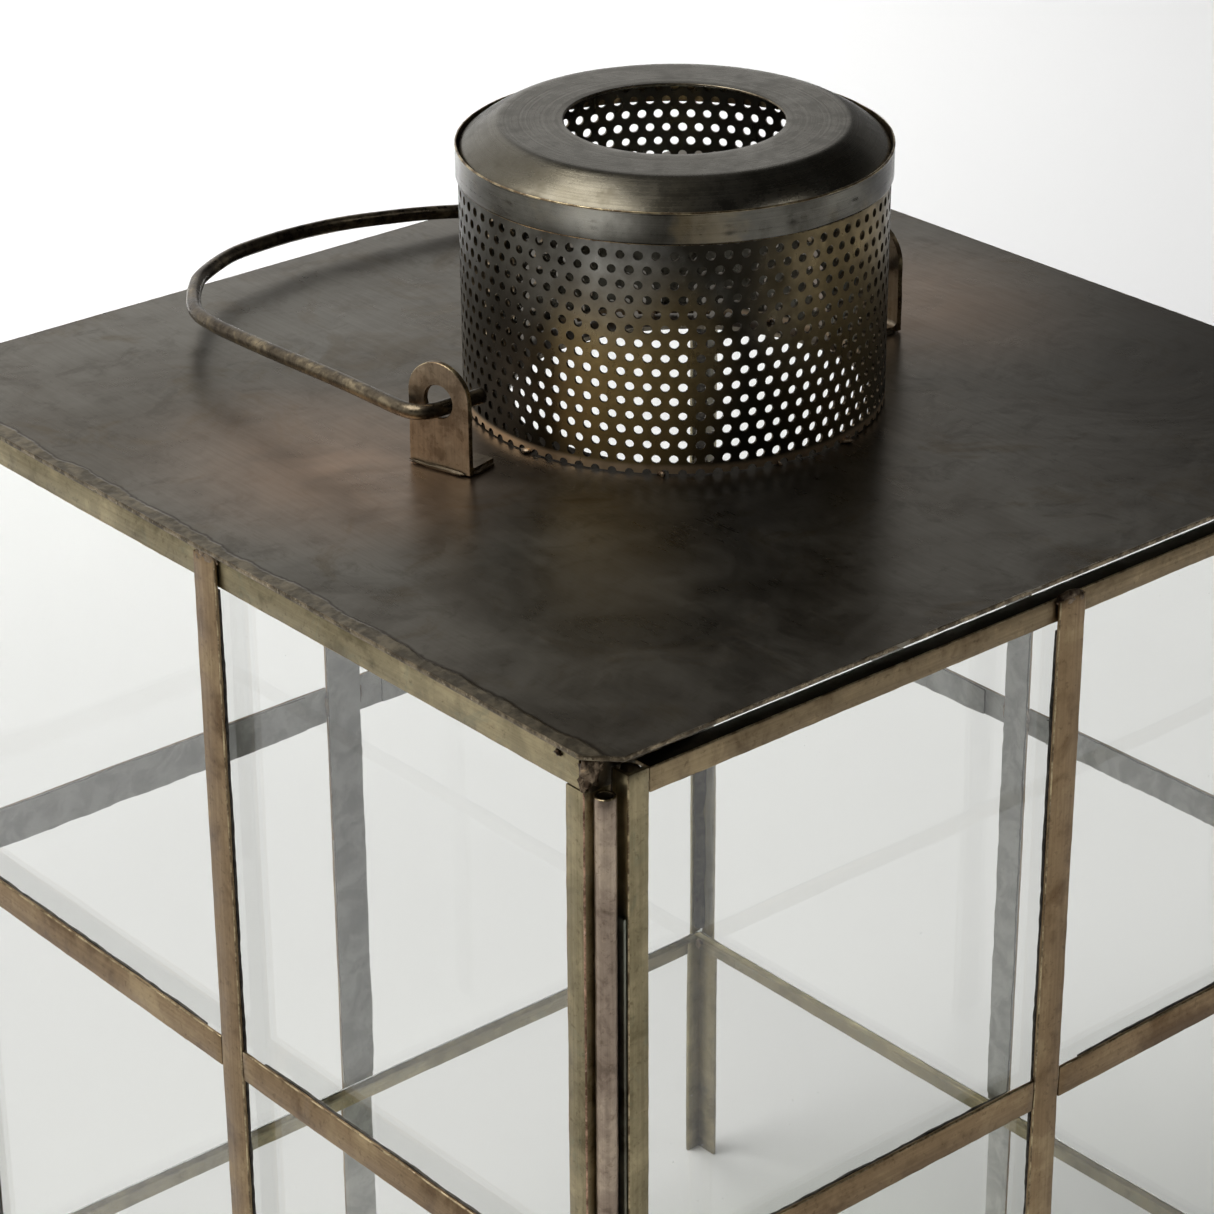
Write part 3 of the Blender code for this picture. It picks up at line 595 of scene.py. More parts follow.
def ell(node, axis, corner_sign, t):
    """The L outline of an angle bar from its box: corner_sign picks the outer corner."""
    lo, hi = mmbox(node)
    iu, iv = {0: (1, 2), 1: (0, 2), 2: (0, 1)}[axis]
    u0, u1 = (lo[iu], hi[iu]) if corner_sign[0] < 0 else (hi[iu], lo[iu])
    v0, v1 = (lo[iv], hi[iv]) if corner_sign[1] < 0 else (hi[iv], lo[iv])
    tu, tv = math.copysign(t, u1 - u0), math.copysign(t, v1 - v0)
    return [(u0, v0), (u1, v0), (u1, v0 + tv), (u0 + tu, v0 + tv), (u0 + tu, v1), (u0, v1)], lo[axis], hi[axis]


def blob(name, centre, radii, body, mat=M_SOLDER, seed=1.0, rough=0.35, sub=3, keep=None):
    """A lump of solder: an uneven rounded mass, with an optional box (lo, hi) that it may not leave."""
    bm = bmesh.new()
    bmesh.ops.create_icosphere(bm, subdivisions=sub, radius=1.0)
    c = Vector(centre)
    for v in bm.verts:
        d = v.co.normalized()
        k = 1.0 + rough * wob(d * 3.0, 1.6, seed) * 0.55 + rough * 0.35 * wob(d * 3.0, 0.6, seed + 3)
        v.co = Vector((d.x * radii[0], d.y * radii[1], d.z * radii[2])) * k + c
        if keep:
            for i in range(3):
                v.co[i] = max(keep[0][i], min(keep[1][i], v.co[i]))
    o = link(name, bm, [mat], body, smooth=180)
    return o


def lathe(name, profile, mats, body, steps=160, centre=(0, 0), shape=None, smooth=35):
    """A closed profile of (radius, height, material index) turned round an upright axis, in mm."""
    bm = bmesh.new()
    rings = []
    for r, h, _ in profile:
        ring = []
        for i in range(steps):
            a = 2 * math.pi * i / steps
            rr, hh = (r, h) if shape is None else shape(r, h, a)
            ring.append(bm.verts.new((centre[0] + rr * math.cos(a), centre[1] + rr * math.sin(a), hh)))
        rings.append(ring)
    for k in range(len(rings)):
        ra, rb_ = rings[k], rings[(k + 1) % len(rings)]
        for i in range(steps):
            j = (i + 1) % steps
            bm.faces.new((ra[i], ra[j], rb_[j], rb_[i])).material_index = profile[k][2]
    return link(name, bm, mats, body, smooth)


def smooth_path(knots, per=6):
    k = [Vector(p) for p in knots]
    k = [k[0] * 2 - k[1]] + k + [k[-1] * 2 - k[-2]]
    out = []
    for i in range(1, len(k) - 2):
        p0, p1, p2, p3 = k[i - 1], k[i], k[i + 1], k[i + 2]
        for s in range(per):
            t = s / per
            out.append(0.5 * ((2 * p1) + (p2 - p0) * t + (2 * p0 - 5 * p1 + 4 * p2 - p3) * t * t
                              + (3 * p1 - p0 - 3 * p2 + p3) * t * t * t))
    out.append(k[-2])
    return out


M_RAIL = patina("rail_brass", (0.130, 0.090, 0.050), (0.265, 0.200, 0.118), (0.44, 0.34, 0.20), axis=0, mottle=130.0)
# near-black brass: painted shade for surfaces sheltered under the roof
M_SHADE_BRASS = patina("painted_shade_brass", (0.014, 0.011, 0.008), (0.030, 0.024, 0.016), (0.055, 0.044, 0.030), rough=(0.40, 0.60))



def putty_and_painted_light():
    """Pale putty and flux on the inner side of the bars; their paleness is also painted light where little light
    reaches behind the glass.
    """
    k = Mat("putty_and_painted_light")
    n = k.noise(140.0, 6.0, 0.65, dist=0.6)
    f = k.noise(900.0, 4.0, 0.6)
    c = k.mix(k.remap(n, 0.36, 0.64), (0.36, 0.355, 0.335), (0.56, 0.555, 0.525))
    c = k.mix(k.remap(f, 0.58, 0.74, 0.0, 0.4), c, (0.22, 0.21, 0.19))
    k.bump(n, 0.4, 0.0003)
    return k.finish(c, 0.55, 0.15)


M_PUTTY_AND_LIGHT = putty_and_painted_light()


def back_with_putty_and_light(o, axis, outward, up_to=None):
    """Give the bar's inward faces along an axis the pale putty, which also paints light on them, if wanted only below a
    height in mm.
    """
    o.data.materials.append(M_PUTTY_AND_LIGHT)
    k_ = len(o.data.materials) - 1
    for f in o.data.polygons:
        if f.normal[axis] * outward < -0.8 and (up_to is None or f.center.z * 1000 < up_to):
            f.material_index = k_


# =============================================================== the frame of angle bars
F3 = lambda a: (M_FRAME[a], M_EDGE)
POST_TOP = mmbox("post_back_left")[1].z
for i, (node, sign) in enumerate((
    ("post_front_left", (-1, -1)), ("post_front_right", (1, -1)),
    ("post_back_left", (-1, 1)), ("post_back_right", (1, 1)),
)):
    out, a0, a1 = ell(node, 2, sign, 1.0)
    front = "front" in node
    metals = (M_FRAME[2], M_COPPER) if node == "post_front_left" else F3(2)
    bar("look_" + node, out, 2, a0, POST_TOP if front else a1, metals, "body", node, r=0.28, seed=i + 1.0,
        edges=(out[0], out[1], out[5]))
    if front:  # the front arm runs on up to the roof behind the door
        x0, x1 = sorted((sign[0] * 112.6, out[1][0]))
        y0 = out[0][1]
        o = bar("look_" + node + "_tongue", [(x0, y0), (x1, y0), (x1, y0 + 1.0), (x0, y0 + 1.0)], 2, POST_TOP - 0.4, a1,
                (M_DARKBRASS, M_DARKBRASS), "body", node, r=0.15, seed=i + 7.0)
for i, (node, axis, sign) in enumerate((
    ("top_rail_left", 1, (-1, 1)), ("top_rail_right", 1, (1, 1)), ("top_rail_back", 0, (1, 1)),
    ("bottom_rail_left", 1, (-1, 1)), ("bottom_rail_right", 1, (1, 1)),
    ("bottom_rail_back", 0, (1, 1)), ("bottom_rail_front", 0, (-1, 1)),
)):
    out, a0, a1 = ell(node, axis, sign, 1.0)
    bar("look_" + node, out, axis, a0, a1, F3(axis), "body", node, r=0.28, seed=i + 11.0,
        edges=(out[0], out[5]) if node.startswith("top") else (out[5],))
for i, (node, axis, sign) in enumerate((
    ("door_stile_hinge", 2, (-1, -1)), ("door_stile_catch", 2, (1, -1)),
    ("door_rail_top", 0, (-1, 1)), ("door_rail_bottom", 0, (-1, -1)),
)):
    out, a0, a1 = ell(node, axis, sign, 0.9)
    metals = (M_RAIL, M_EDGE) if axis == 0 else F3(axis)
    o = bar("look_" + node, out, axis, a0, a1, metals, "door", node, r=0.26, seed=i + 21.0,
            edges=(out[0], out[5]) if axis == 0 else (out[0], out[1]))
    if node == "door_rail_top":  # its level arm is painted near black, as painted shade under the roof
        o.data.materials.append(M_SHADE_BRASS)
        for f in o.data.polygons:
            if f.normal.z > 0.85 and f.material_index == 0:
                f.material_index = 2

PANE_Z0 = mmbox("pane_left")[0].z

# =============================================================== glazing strips, each with its line of dark cement
for i, node in enumerate(sorted(n for n in NODES if "strip_" in n)):
    lo, hi = mmbox(node)
    size = hi - lo
    axis = max(range(3), key=lambda a: size[a])
    thin = min(range(3), key=lambda a: size[a])
    iu, iv = {0: (1, 2), 1: (0, 2), 2: (0, 1)}[axis]
    body = "door" if node.startswith("door") else "body"
    o = bar("look_" + node, rect(lo, hi, iu, iv), axis, lo[axis], hi[axis], (M_STRIP[axis], M_EDGE), body, node,
            r=0.24, step=2.2, amp=0.055, seed=i + 31.0,
            edges=[q for q in rect(lo, hi, iu, iv)
                   if abs(q[(iu, iv).index(thin)]) > 114.6])
    # pale putty on the inner faces of the back and right strips, also painted light
    if node.startswith(("strip_back", "strip_right")):
        back_with_putty_and_light(o, thin, 1)
    # cement: a ragged ribbon between the strip and the glass
    wide = 3 - axis - thin
    outward = 1 if lo[thin] > 0 else -1
    t_in = (lo[thin] if outward > 0 else hi[thin]) - outward * 0.05
    t_out = t_in - outward * 0.55
    end = 6.4
    bm = bmesh.new()
    rings = []
    c0, c1 = lo[axis] + end, hi[axis] - end
    if axis == 2:
        c0 = max(c0, PANE_Z0 + 0.4)
    steps = int((c1 - c0) / 1.3)
    for s in range(steps + 1):
        a = c0 + (c1 - c0) * s / steps
        ring = []
        for side, t in ((-1, t_in), (-1, t_out), (1, t_out), (1, t_in)):
            q = [0.0, 0.0, 0.0]
            q[axis], q[thin] = a, t
            base = lo[wide] if side < 0 else hi[wide]
            q[wide] = base
            ragged = 0.16 * wob(q, 9.0, i + side) + 0.14 * wob(q, 2.2, i + 3 * side) + 0.06 * wob(q, 0.8, i)
            over = max(-0.35, min(0.26, -0.06 + ragged))
            over = -0.35 + (over + 0.35) * min(1.0, min(a - c0, c1 - a) / 9.0)  # it thins out towards its ends
            q[wide] = base + side * over
            ring.append(bm.verts.new(q))
        rings.append(ring)
    # the cement's inner side on the back and right strips is pale putty, also painted light
    pale = node.startswith(("strip_back", "strip_right"))
    for ra, rb_ in zip(rings, rings[1:]):
        for k_ in range(4):
            f = bm.faces.new((ra[k_], ra[(k_ + 1) % 4], rb_[(k_ + 1) % 4], rb_[k_]))
            f.material_index = 1 if pale and k_ == 1 else 0
    bm.faces.new(rings[0])
    bm.faces.new(rings[-1])
    o = link("cement_" + node, bm, [M_CEMENT, M_PUTTY_AND_LIGHT] if pale else [M_CEMENT], body, smooth=30)

# =============================================================== solder at the joints
OUT = 115.0
cross_z = (mmbox("strip_left_cross_a")[0].z + mmbox("strip_left_cross_a")[1].z) / 2
for side, axis, sgn in (("left", 0, -1), ("right", 0, 1), ("back", 1, 1), ("door", 1, -1)):
    body = "door" if side == "door" else "body"
    pre = "door_strip" if side == "door" else f"strip_{side}"
    ulo, uhi = mmbox(pre + "_upright")
    a_lo, a_hi = mmbox(pre + "_cross_a")
    b_lo, b_hi = mmbox(pre + "_cross_b")
    other = 1 - axis
    mid = (ulo[other] + uhi[other]) / 2

    def at(u, z, depth=0.0):
        p = [0.0, 0.0, z]
        p[axis] = sgn * (OUT - 0.75 - depth)
        p[other] = u
        return p

    def shape(u, w, z):
        r = [0.0, 0.0, z]
        r[axis], r[other] = u, w
        return r

    keep = [[-1e9] * 3, [1e9] * 3]
    if sgn < 0:
        keep[0][axis] = -OUT - 0.55
    else:
        keep[1][axis] = OUT + 0.55
    s0 = 50 + 7 * "left right back door".split().index(side)
    # top and bottom ends of the upright
    low_z = ulo.z + 0.3 if side == "door" else PANE_Z0 - 3.8
    for k_, (z, zs) in enumerate(((uhi.z - 0.2, 1.5), (low_z, 1.4))):
        blob(f"solder_{side}_upright_{k_}", at(mid - 0.4, z), shape(0.75, 3.3, zs), body, seed=s0 + k_, keep=keep)
        blob(f"solder_{side}_upright_lump_{k_}", at(mid + 2.2, z - 0.3), shape(0.9, 1.1, 1.1), body, seed=s0 + k_ + 2,
             rough=0.5, sub=2, keep=keep)
    # where the cross strips meet the upright, and their outer ends
    for k_, u in enumerate((ulo[other] - 0.1, uhi[other] + 0.1)):
        blob(f"solder_{side}_cross_{k_}", at(u, cross_z + 0.3), shape(0.5, 0.7, 3.1), body, seed=s0 + k_ + 4, rough=0.55,
             keep=keep)
    for k_, u in enumerate((a_lo[other] + 1.0, b_hi[other] - 1.0)):
        blob(f"solder_{side}_end_{k_}", at(u, cross_z), shape(0.55, 1.2, 3.0), body, seed=s0 + k_ + 6, rough=0.5,
             keep=keep)

# near corner: the rail's end is flooded with solder over the post
PX, PY = mmbox("post_front_left")[0].x, mmbox("post_front_left")[0].y
ceiling = [[-114.9, -114.6, -1e9], [1e9, 1e9, ZT - 0.95]]
blob("solder_near_corner_a", (PX + 1.2, PY - 0.2, ZT - 4.0), (1.9, 1.5, 3.2), "body", seed=91, rough=0.6, keep=ceiling)
blob("solder_near_corner_b", (PX + 0.1, PY + 0.1, ZT - 5.8), (0.85, 0.9, 1.9), "body", seed=92, rough=0.6, sub=3, keep=ceiling)
blob("solder_near_corner_c", (PX + 2.4, PY - 0.7, ZT - 2.6), (1.5, 1.0, 1.3), "body", seed=93, rough=0.7, keep=ceiling)
blob("solder_rail_lump", (PX - 0.2, PY + 6.4, ZT - 2.5), (0.45, 1.0, 0.55), "body", seed=94, rough=0.7, sub=2, keep=ceiling)
# solder run along behind the door's top edge, beside the hinge
blob("solder_near_corner_d", (-103.6, -108.6, 290.9), (6.6, 0.55, 2.6), "body", M_DARKBRASS, seed=97, rough=0.4,
     keep=[[-1e9, -109.2, -1e9], [1e9, -107.8, ZT - 1.1]])
blob("solder_near_corner_e", (-107.1, -108.6, 286.6), (1.6, 0.5, 5.2), "body", M_DARKBRASS, seed=98, rough=0.3,
     keep=[[-1e9, -109.15, -1e9], [1e9, -107.8, ZT - 1.1]])
blob("solder_near_corner_f", (-95.6, -108.6, 290.7), (8.6, 0.5, 2.7), "body", M_DARKBRASS, seed=99, rough=0.35,
     keep=[[-1e9, -109.15, -1e9], [1e9, -107.8, ZT - 1.1]])
# flux and solder filling the upper ends of the door's two stiles, over the corners of the pane; their dark brass also
# paints the shade under the roof
for i, x in enumerate((-105.3, 107.7)):
    blob(f"solder_stile_end_{i}", (x, -111.4, 289.75), (1.9, 1.75, 0.6), "door", M_DARKBRASS, seed=105 + i, rough=0.35)
# dark putty in the inside corners where two panes meet
for sx in (-1, 1):
    ring0, bm = [], bmesh.new()
    n_ = 90
    zs_ = [PANE_Z0 + 3.2 + (290.8 - PANE_Z0 - 3.2) * q / n_ for q in range(n_ + 1)]
    for z in zs_:
        thick = 1.9 if sx > 0 else 0.95
        e1 = thick + thick * (0.26 * wob((sx * 5, 3, z), 7.0, 2) + 0.13 * wob((sx * 5, 9, z), 2.0, 4))
        e2 = thick + thick * (0.26 * wob((sx * 8, 5, z), 7.0, 3) + 0.13 * wob((sx * 8, 2, z), 2.0, 5))
        ring0.append([bm.verts.new((sx * x, y, z)) for x, y in (
            (109.25, 108.95), (109.25 - e1, 109.25), (109.0 - e1 * 0.45, 108.8 - e2 * 0.35), (109.25, 108.95 - e2))])
    for ra, rb_ in zip(ring0, ring0[1:]):
        for q in range(4):
            bm.faces.new((ra[q], ra[(q + 1) % 4], rb_[(q + 1) % 4], rb_[q]))
    bm.faces.new(ring0[0])
    bm.faces.new(ring0[-1])
    link(f"cement_corner_{'left' if sx < 0 else 'right'}", bm, [M_CEMENT], "body", smooth=40)
# dark flux line under the roof's edge on the three soldered sides, which also paints the shadow under the roof's edge
for nm, axis, sgn, e0, e1 in (("left", 0, -1, -107.0, 112.5), ("right", 0, 1, -107.0, 112.5), ("back", 1, 1, -112.5, 112.5)):
    ring0, bm = [], bmesh.new()
    n_ = 150
    for q in range(n_ + 1):
        u = e0 + (e1 - e0) * q / n_
        lowz = ZT - 1.75 + 0.30 * wob((u, sgn, axis), 8.0, 6) + 0.22 * wob((u, sgn, axis), 2.1, 7)
        fat = 0.30 + 0.10 * wob((u, 4, axis), 5.0, 8)
        ring = []
        for d, z in ((113.7, ZT - 1.02), (113.95 + fat, ZT - 1.02), (113.95 + fat * 0.6, (ZT - 1.1 + lowz) / 2), (113.7, lowz)):
            v = [0.0, 0.0, z]
            v[axis], v[1 - axis] = sgn * d, u
            ring.append(bm.verts.new(v))
        ring0.append(ring)
    for ra, rb_ in zip(ring0, ring0[1:]):
        for q in range(4):
            bm.faces.new((ra[q], ra[(q + 1) % 4], rb_[(q + 1) % 4], rb_[q]))
    bm.faces.new(ring0[0])
    bm.faces.new(ring0[-1])
    link("seam_" + nm, bm, [M_DARKBRASS], "body", smooth=50)
for i, (sx, sy) in enumerate(((1, -1), (-1, 1), (1, 1))):
    blob(f"solder_corner_{i}", (sx * 112.6, sy * (112.6 if sy > 0 else 108.6), ZT - 4.2), (1.5, 1.5, 2.9), "body",
         seed=95 + i, rough=0.5, keep=[[-114.9, -114.6, -1e9], [114.9, 114.9, ZT - 0.95]])
for i, sx in enumerate((-1, 1)):  # the back corners are flooded with solder between the two rails
    x0, x1 = sorted((sx * 108.2, sx * 113.6))
    blob(f"solder_back_fill_{i}", (sx * 110.9, 113.2, 290.3), (3.9, 1.1, 4.8), "body", seed=141 + i, rough=0.25, sub=4,
         keep=[[x0, 112.1, 287.1], [x1, 113.78, 293.9]])
for i, (sx, sy) in enumerate(((-1, -1), (1, -1), (-1, 1), (1, 1))):
    yy = sy * (111.6 if sy > 0 else 107.0)
    blob(f"solder_foot_{i}", (sx * 111.6, yy, PANE_Z0 - 4.2), (1.2, 1.2, 3.0), "body", seed=101 + i, rough=0.5)
for i, (x, z) in enumerate(((-105.6, 287.6), (107.9, 287.6), (-105.6, 67.0), (107.9, 67.0))):
    blob(f"solder_door_corner_{i}", (x, -113.2, z), (2.3, 0.55, 0.35), "door", seed=111 + i, rough=0.6, sub=2,
         keep=[[-1e9, -114.25, -1e9], [1e9, 1e9, 1e9]])
    blob(f"solder_door_inside_{i}", (x, -110.9, z), (1.6, 0.9, 1.3), "door", seed=121 + i, rough=0.5, sub=2)

# =============================================================== roof and glass keep their CAD shape
def keep_node(node, mat, bevel=0.0, slot_only=False):
    o = NODES[node]
    o.data.materials.clear()
    o.data.materials.append(mat)
    if bevel:
        m = o.modifiers.new("edge", "BEVEL")
        m.width = bevel * MM
        m.segments = 2
        m.limit_method = "ANGLE"
        m.angle_limit = math.radians(40)
        m.harden_normals = True
    return o


keep_node("roof_plate", M_ROOF, 0.16)
for node in NODES:
    if "pane" in node or "glass" in node:
        keep_node(node, M_GLASS)

# bright, slightly uneven edge round the roof: a bead of worn metal along the sheet's rim
bm = bmesh.new()
c_ = 5.4
rim = [(-HALF + c_, -HALF), (HALF - c_, -HALF), (HALF, -HALF + c_), (HALF, HALF - c_),
       (HALF - c_, HALF), (-HALF + c_, HALF), (-HALF, HALF - c_), (-HALF, -HALF + c_)]
path = []
for i in range(8):
    a, b = Vector(rim[i]), Vector(rim[(i + 1) % 8])
    k_ = max(2, int((b - a).length / 1.6))
    nrm = Vector(((b - a).y, -(b - a).x)).normalized()
    for s in range(k_):
        path.append((a + (b - a) * s / k_, nrm))
rings = []
for p, nrm in path:
    ring = []
    for oz, on in ((0.01, -0.16), (0.03, -0.04), (-0.10, 0.03), (-0.45, 0.03), (-0.86, 0.03), (-1.02, -0.06), (-1.01, -0.20), (-0.5, -0.3)):
        q = Vector((p.x, p.y, ZT + oz))
        d = 0.03 * wob(q, 7.0, 3) + 0.02 * wob(q, 1.6, 4)
        ring.append(bm.verts.new((p.x + nrm.x * (on + d), p.y + nrm.y * (on + d), ZT + oz + 0.02 * wob(q, 2.0, 5))))
    rings.append(ring)
for i in range(len(rings)):
    ra, rb_ = rings[i], rings[(i + 1) % len(rings)]
    for j in range(8):
        bm.faces.new((ra[j], ra[(j + 1) % 8], rb_[(j + 1) % 8], rb_[j]))
o = link("roof_rim", bm, [M_RIM], "body", smooth=60)

# =============================================================== chimney: perforated sheet
HOLE_R, PITCH = 0.98, 3.5
COLS = int(round(2 * math.pi * CR / PITCH))
ROWS = 17
z_base, z_end = CH_LO.z, CH_HI.z
row_h = (z_end - z_base) / (ROWS + 0.5)
THICK = 0.6
bm = bmesh.new()
outer_cache, inner_cache = {}, {}


def wall_point(u, z, r, cache):
    """A shared vertex at arc position u (in pitches, wrapping) and height z."""
    key = (round((u % COLS) * 240), round(z * 400))
    if key not in cache:
        a = 2 * math.pi * u / COLS
        rr = r + 0.10 * noise.noise(Vector((math.cos(a) * 2.2, math.sin(a) * 2.2, z / 26.0)))
        cache[key] = bm.verts.new((CX + rr * math.cos(a), CY + rr * math.sin(a), z))
    return cache[key]


B12 = [(0.5, 0.0), (0.5, 0.5), (0.25, 0.5), (0.0, 0.5), (-0.25, 0.5), (-0.5, 0.5),
       (-0.5, 0.0), (-0.5, -0.5), (-0.25, -0.5), (0.0, -0.5), (0.25, -0.5), (0.5, -0.5)]
for row in range(ROWS + 1):
    zc = z_base + row * row_h
    for col in range(COLS):
        uc = col + (0.5 if row % 2 else 0.0)
        jr = 1.0 + 0.03 * rnd(col, row, 1)
        idx = range(12)
        if row == 0:
            idx = range(0, 6)
        hole_o, hole_i, ring_o, ring_i = [], [], [], []
        for j in range(12 if row else 7):
            a = math.radians(30 * j)
            du, dz = HOLE_R * jr * math.cos(a) / (2 * math.pi * CR / COLS), HOLE_R * jr * math.sin(a)
            hole_o.append(wall_point(uc + du, zc + dz, CR, outer_cache))
            hole_i.append(wall_point(uc + du, zc + dz, CR - THICK, inner_cache))
            bu, bz = B12[j]
            top = min(zc + bz * row_h, z_end)
            ring_o.append(wall_point(uc + bu, top, CR, outer_cache))
            ring_i.append(wall_point(uc + bu, top, CR - THICK, inner_cache))
        m_ = len(hole_o)
        for j in (range(m_) if row else range(m_ - 1)):
            k_ = (j + 1) % m_
            bm.faces.new((hole_o[j], ring_o[j], ring_o[k_], hole_o[k_]))
            bm.faces.new((hole_i[k_], ring_i[k_], ring_i[j], hole_i[j]))
            f = bm.faces.new((hole_o[k_], hole_i[k_], hole_i[j], hole_o[j]))
            f.material_index = 1
        if row == 0:  # the sheet was cut through a row of holes: small feet between half holes
            for j in (0, 6):
                f = bm.faces.new((hole_o[j], hole_i[j], ring_i[j], ring_o[j]))
                f.material_index = 1
# the top edge is left open, hidden behind the band
for e in [e for e in bm.edges if len(e.link_faces) == 1]:
    pass
perf = link("chimney_perforated", bm, [M_CHIMNEY, M_DARKBRASS], "body", smooth=35)
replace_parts(perf, "chimney_tube")

# tacks of solder round the foot of the chimney
for i in range(9):
    a = math.radians(20 + 40 * i + 9 * rnd(i, 5))
    blob(f"solder_chimney_{i}", (CX + (CR + 0.1) * math.cos(a), CY + (CR + 0.1) * math.sin(a), z_base + 0.1),
         (1.5 + 0.5 * rnd(i, 6), 1.3, 0.55), "body", seed=130 + i, rough=0.6, sub=2,
         keep=[[-1e9, -1e9, ZT + 0.01], [1e9, 1e9, 1e9]])

# =============================================================== chimney band, with the dimples of its spot welds
B_LO, B_HI = mmbox("chimney_band")
BR = (B_HI.x - B_LO.x) / 2
zb0, zb1 = B_LO.z, B_HI.z
WELDS = [(-152, 0.50), (-118, 0.42), (-101, 0.50), (-79, 0.38), (-30, 0.52), (10, 0.45), (48, 0.5), (92, 0.45), (140, 0.5), (-178, 0.45)]


def band_shape(r, h, a):
    d = 0.0
    if r > BR - 0.2:
        for deg, f in WELDS:
            da = (a - math.radians(deg) + math.pi) % (2 * math.pi) - math.pi
            dist = math.hypot(da * BR, h - (zb0 + (zb1 - zb0) * f))
            if dist < 2.2:
                d -= 0.16 * math.exp(-(dist / 0.85) ** 2) - 0.06 * math.exp(-((dist - 1.4) / 0.4) ** 2)
    q = (math.cos(a) * BR, math.sin(a) * BR, h)
    return r + d + 0.05 * wob(q, 16.0, 7) + 0.03 * wob(q, 4.0, 8), h + 0.05 * wob(q, 12.0, 9)


prof = [(BR - 0.30, zb0, 1), (BR - 0.06, zb0 - 0.02, 1), (BR, zb0 + 0.12, 0)]
prof += [(BR, zb0 + (zb1 - zb0) * i / 18, 0) for i in range(1, 17)]
prof += [(BR, zb1 - 0.55, 0), (BR + 0.05, zb1 - 0.30, 1), (BR + 0.02, zb1 - 0.06, 1), (BR - 0.12, zb1 + 0.04, 1), (BR - 0.30, zb1, 1)]
band = lathe("chimney_band_brushed", prof, [M_BAND, M_EDGE], "body", steps=300, centre=(CX, CY), shape=band_shape, smooth=50)
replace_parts(band, "chimney_band")

# =============================================================== pressed cap
C_LO, C_HI = mmbox("chimney_cap")
top = C_HI.z
r_skirt = (C_HI.x - C_LO.x) / 2
hole_r = 22.3
OUTER = [(35.0, 0.0), (35.7, -0.06), (36.35, -0.26), (37.0, -0.55), (38.0, -1.08), (39.0, -1.66), (40.0, -2.28), (41.0, -2.96),
         (42.0, -3.70), (42.8, -4.38), (43.3, -4.9), (r_skirt - 0.05, -5.25), (r_skirt, C_LO.z + 0.05 - top)]
prof = []
for i in range(7):  # edge of the vent hole, slightly rolled down
    a = math.radians(180 - 15 * i)
    prof.append((hole_r + 0.35 + 0.35 * math.cos(a), top - 0.35 + 0.35 * math.sin(a), 1 if i < 3 else 0))
for i in range(1, 8):
    prof.append((hole_r + 0.6 + (34.2 - hole_r - 0.6) * i / 7, top, 0))
prof += [(r, top + dz, 0) for r, dz in OUTER]
prof += [(r_skirt - 0.8, C_LO.z, 0)]
prof += [(r - 0.62, top + dz - 0.62, 0) for r, dz in reversed(OUTER[:-2])]
prof.append((hole_r + 0.5, top - 0.8, 0))


def cap_shape(r, h, a):
    q = (math.cos(a) * 30, math.sin(a) * 30, r)
    return r, h + (0.05 * wob(q, 22.0, 12) if r < r_skirt - 1 else 0.0)


cap = lathe("chimney_cap_pressed", prof, [M_CAP, M_RIM], "body", steps=200, centre=(CX, CY), shape=cap_shape, smooth=60)
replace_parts(cap, "chimney_cap")


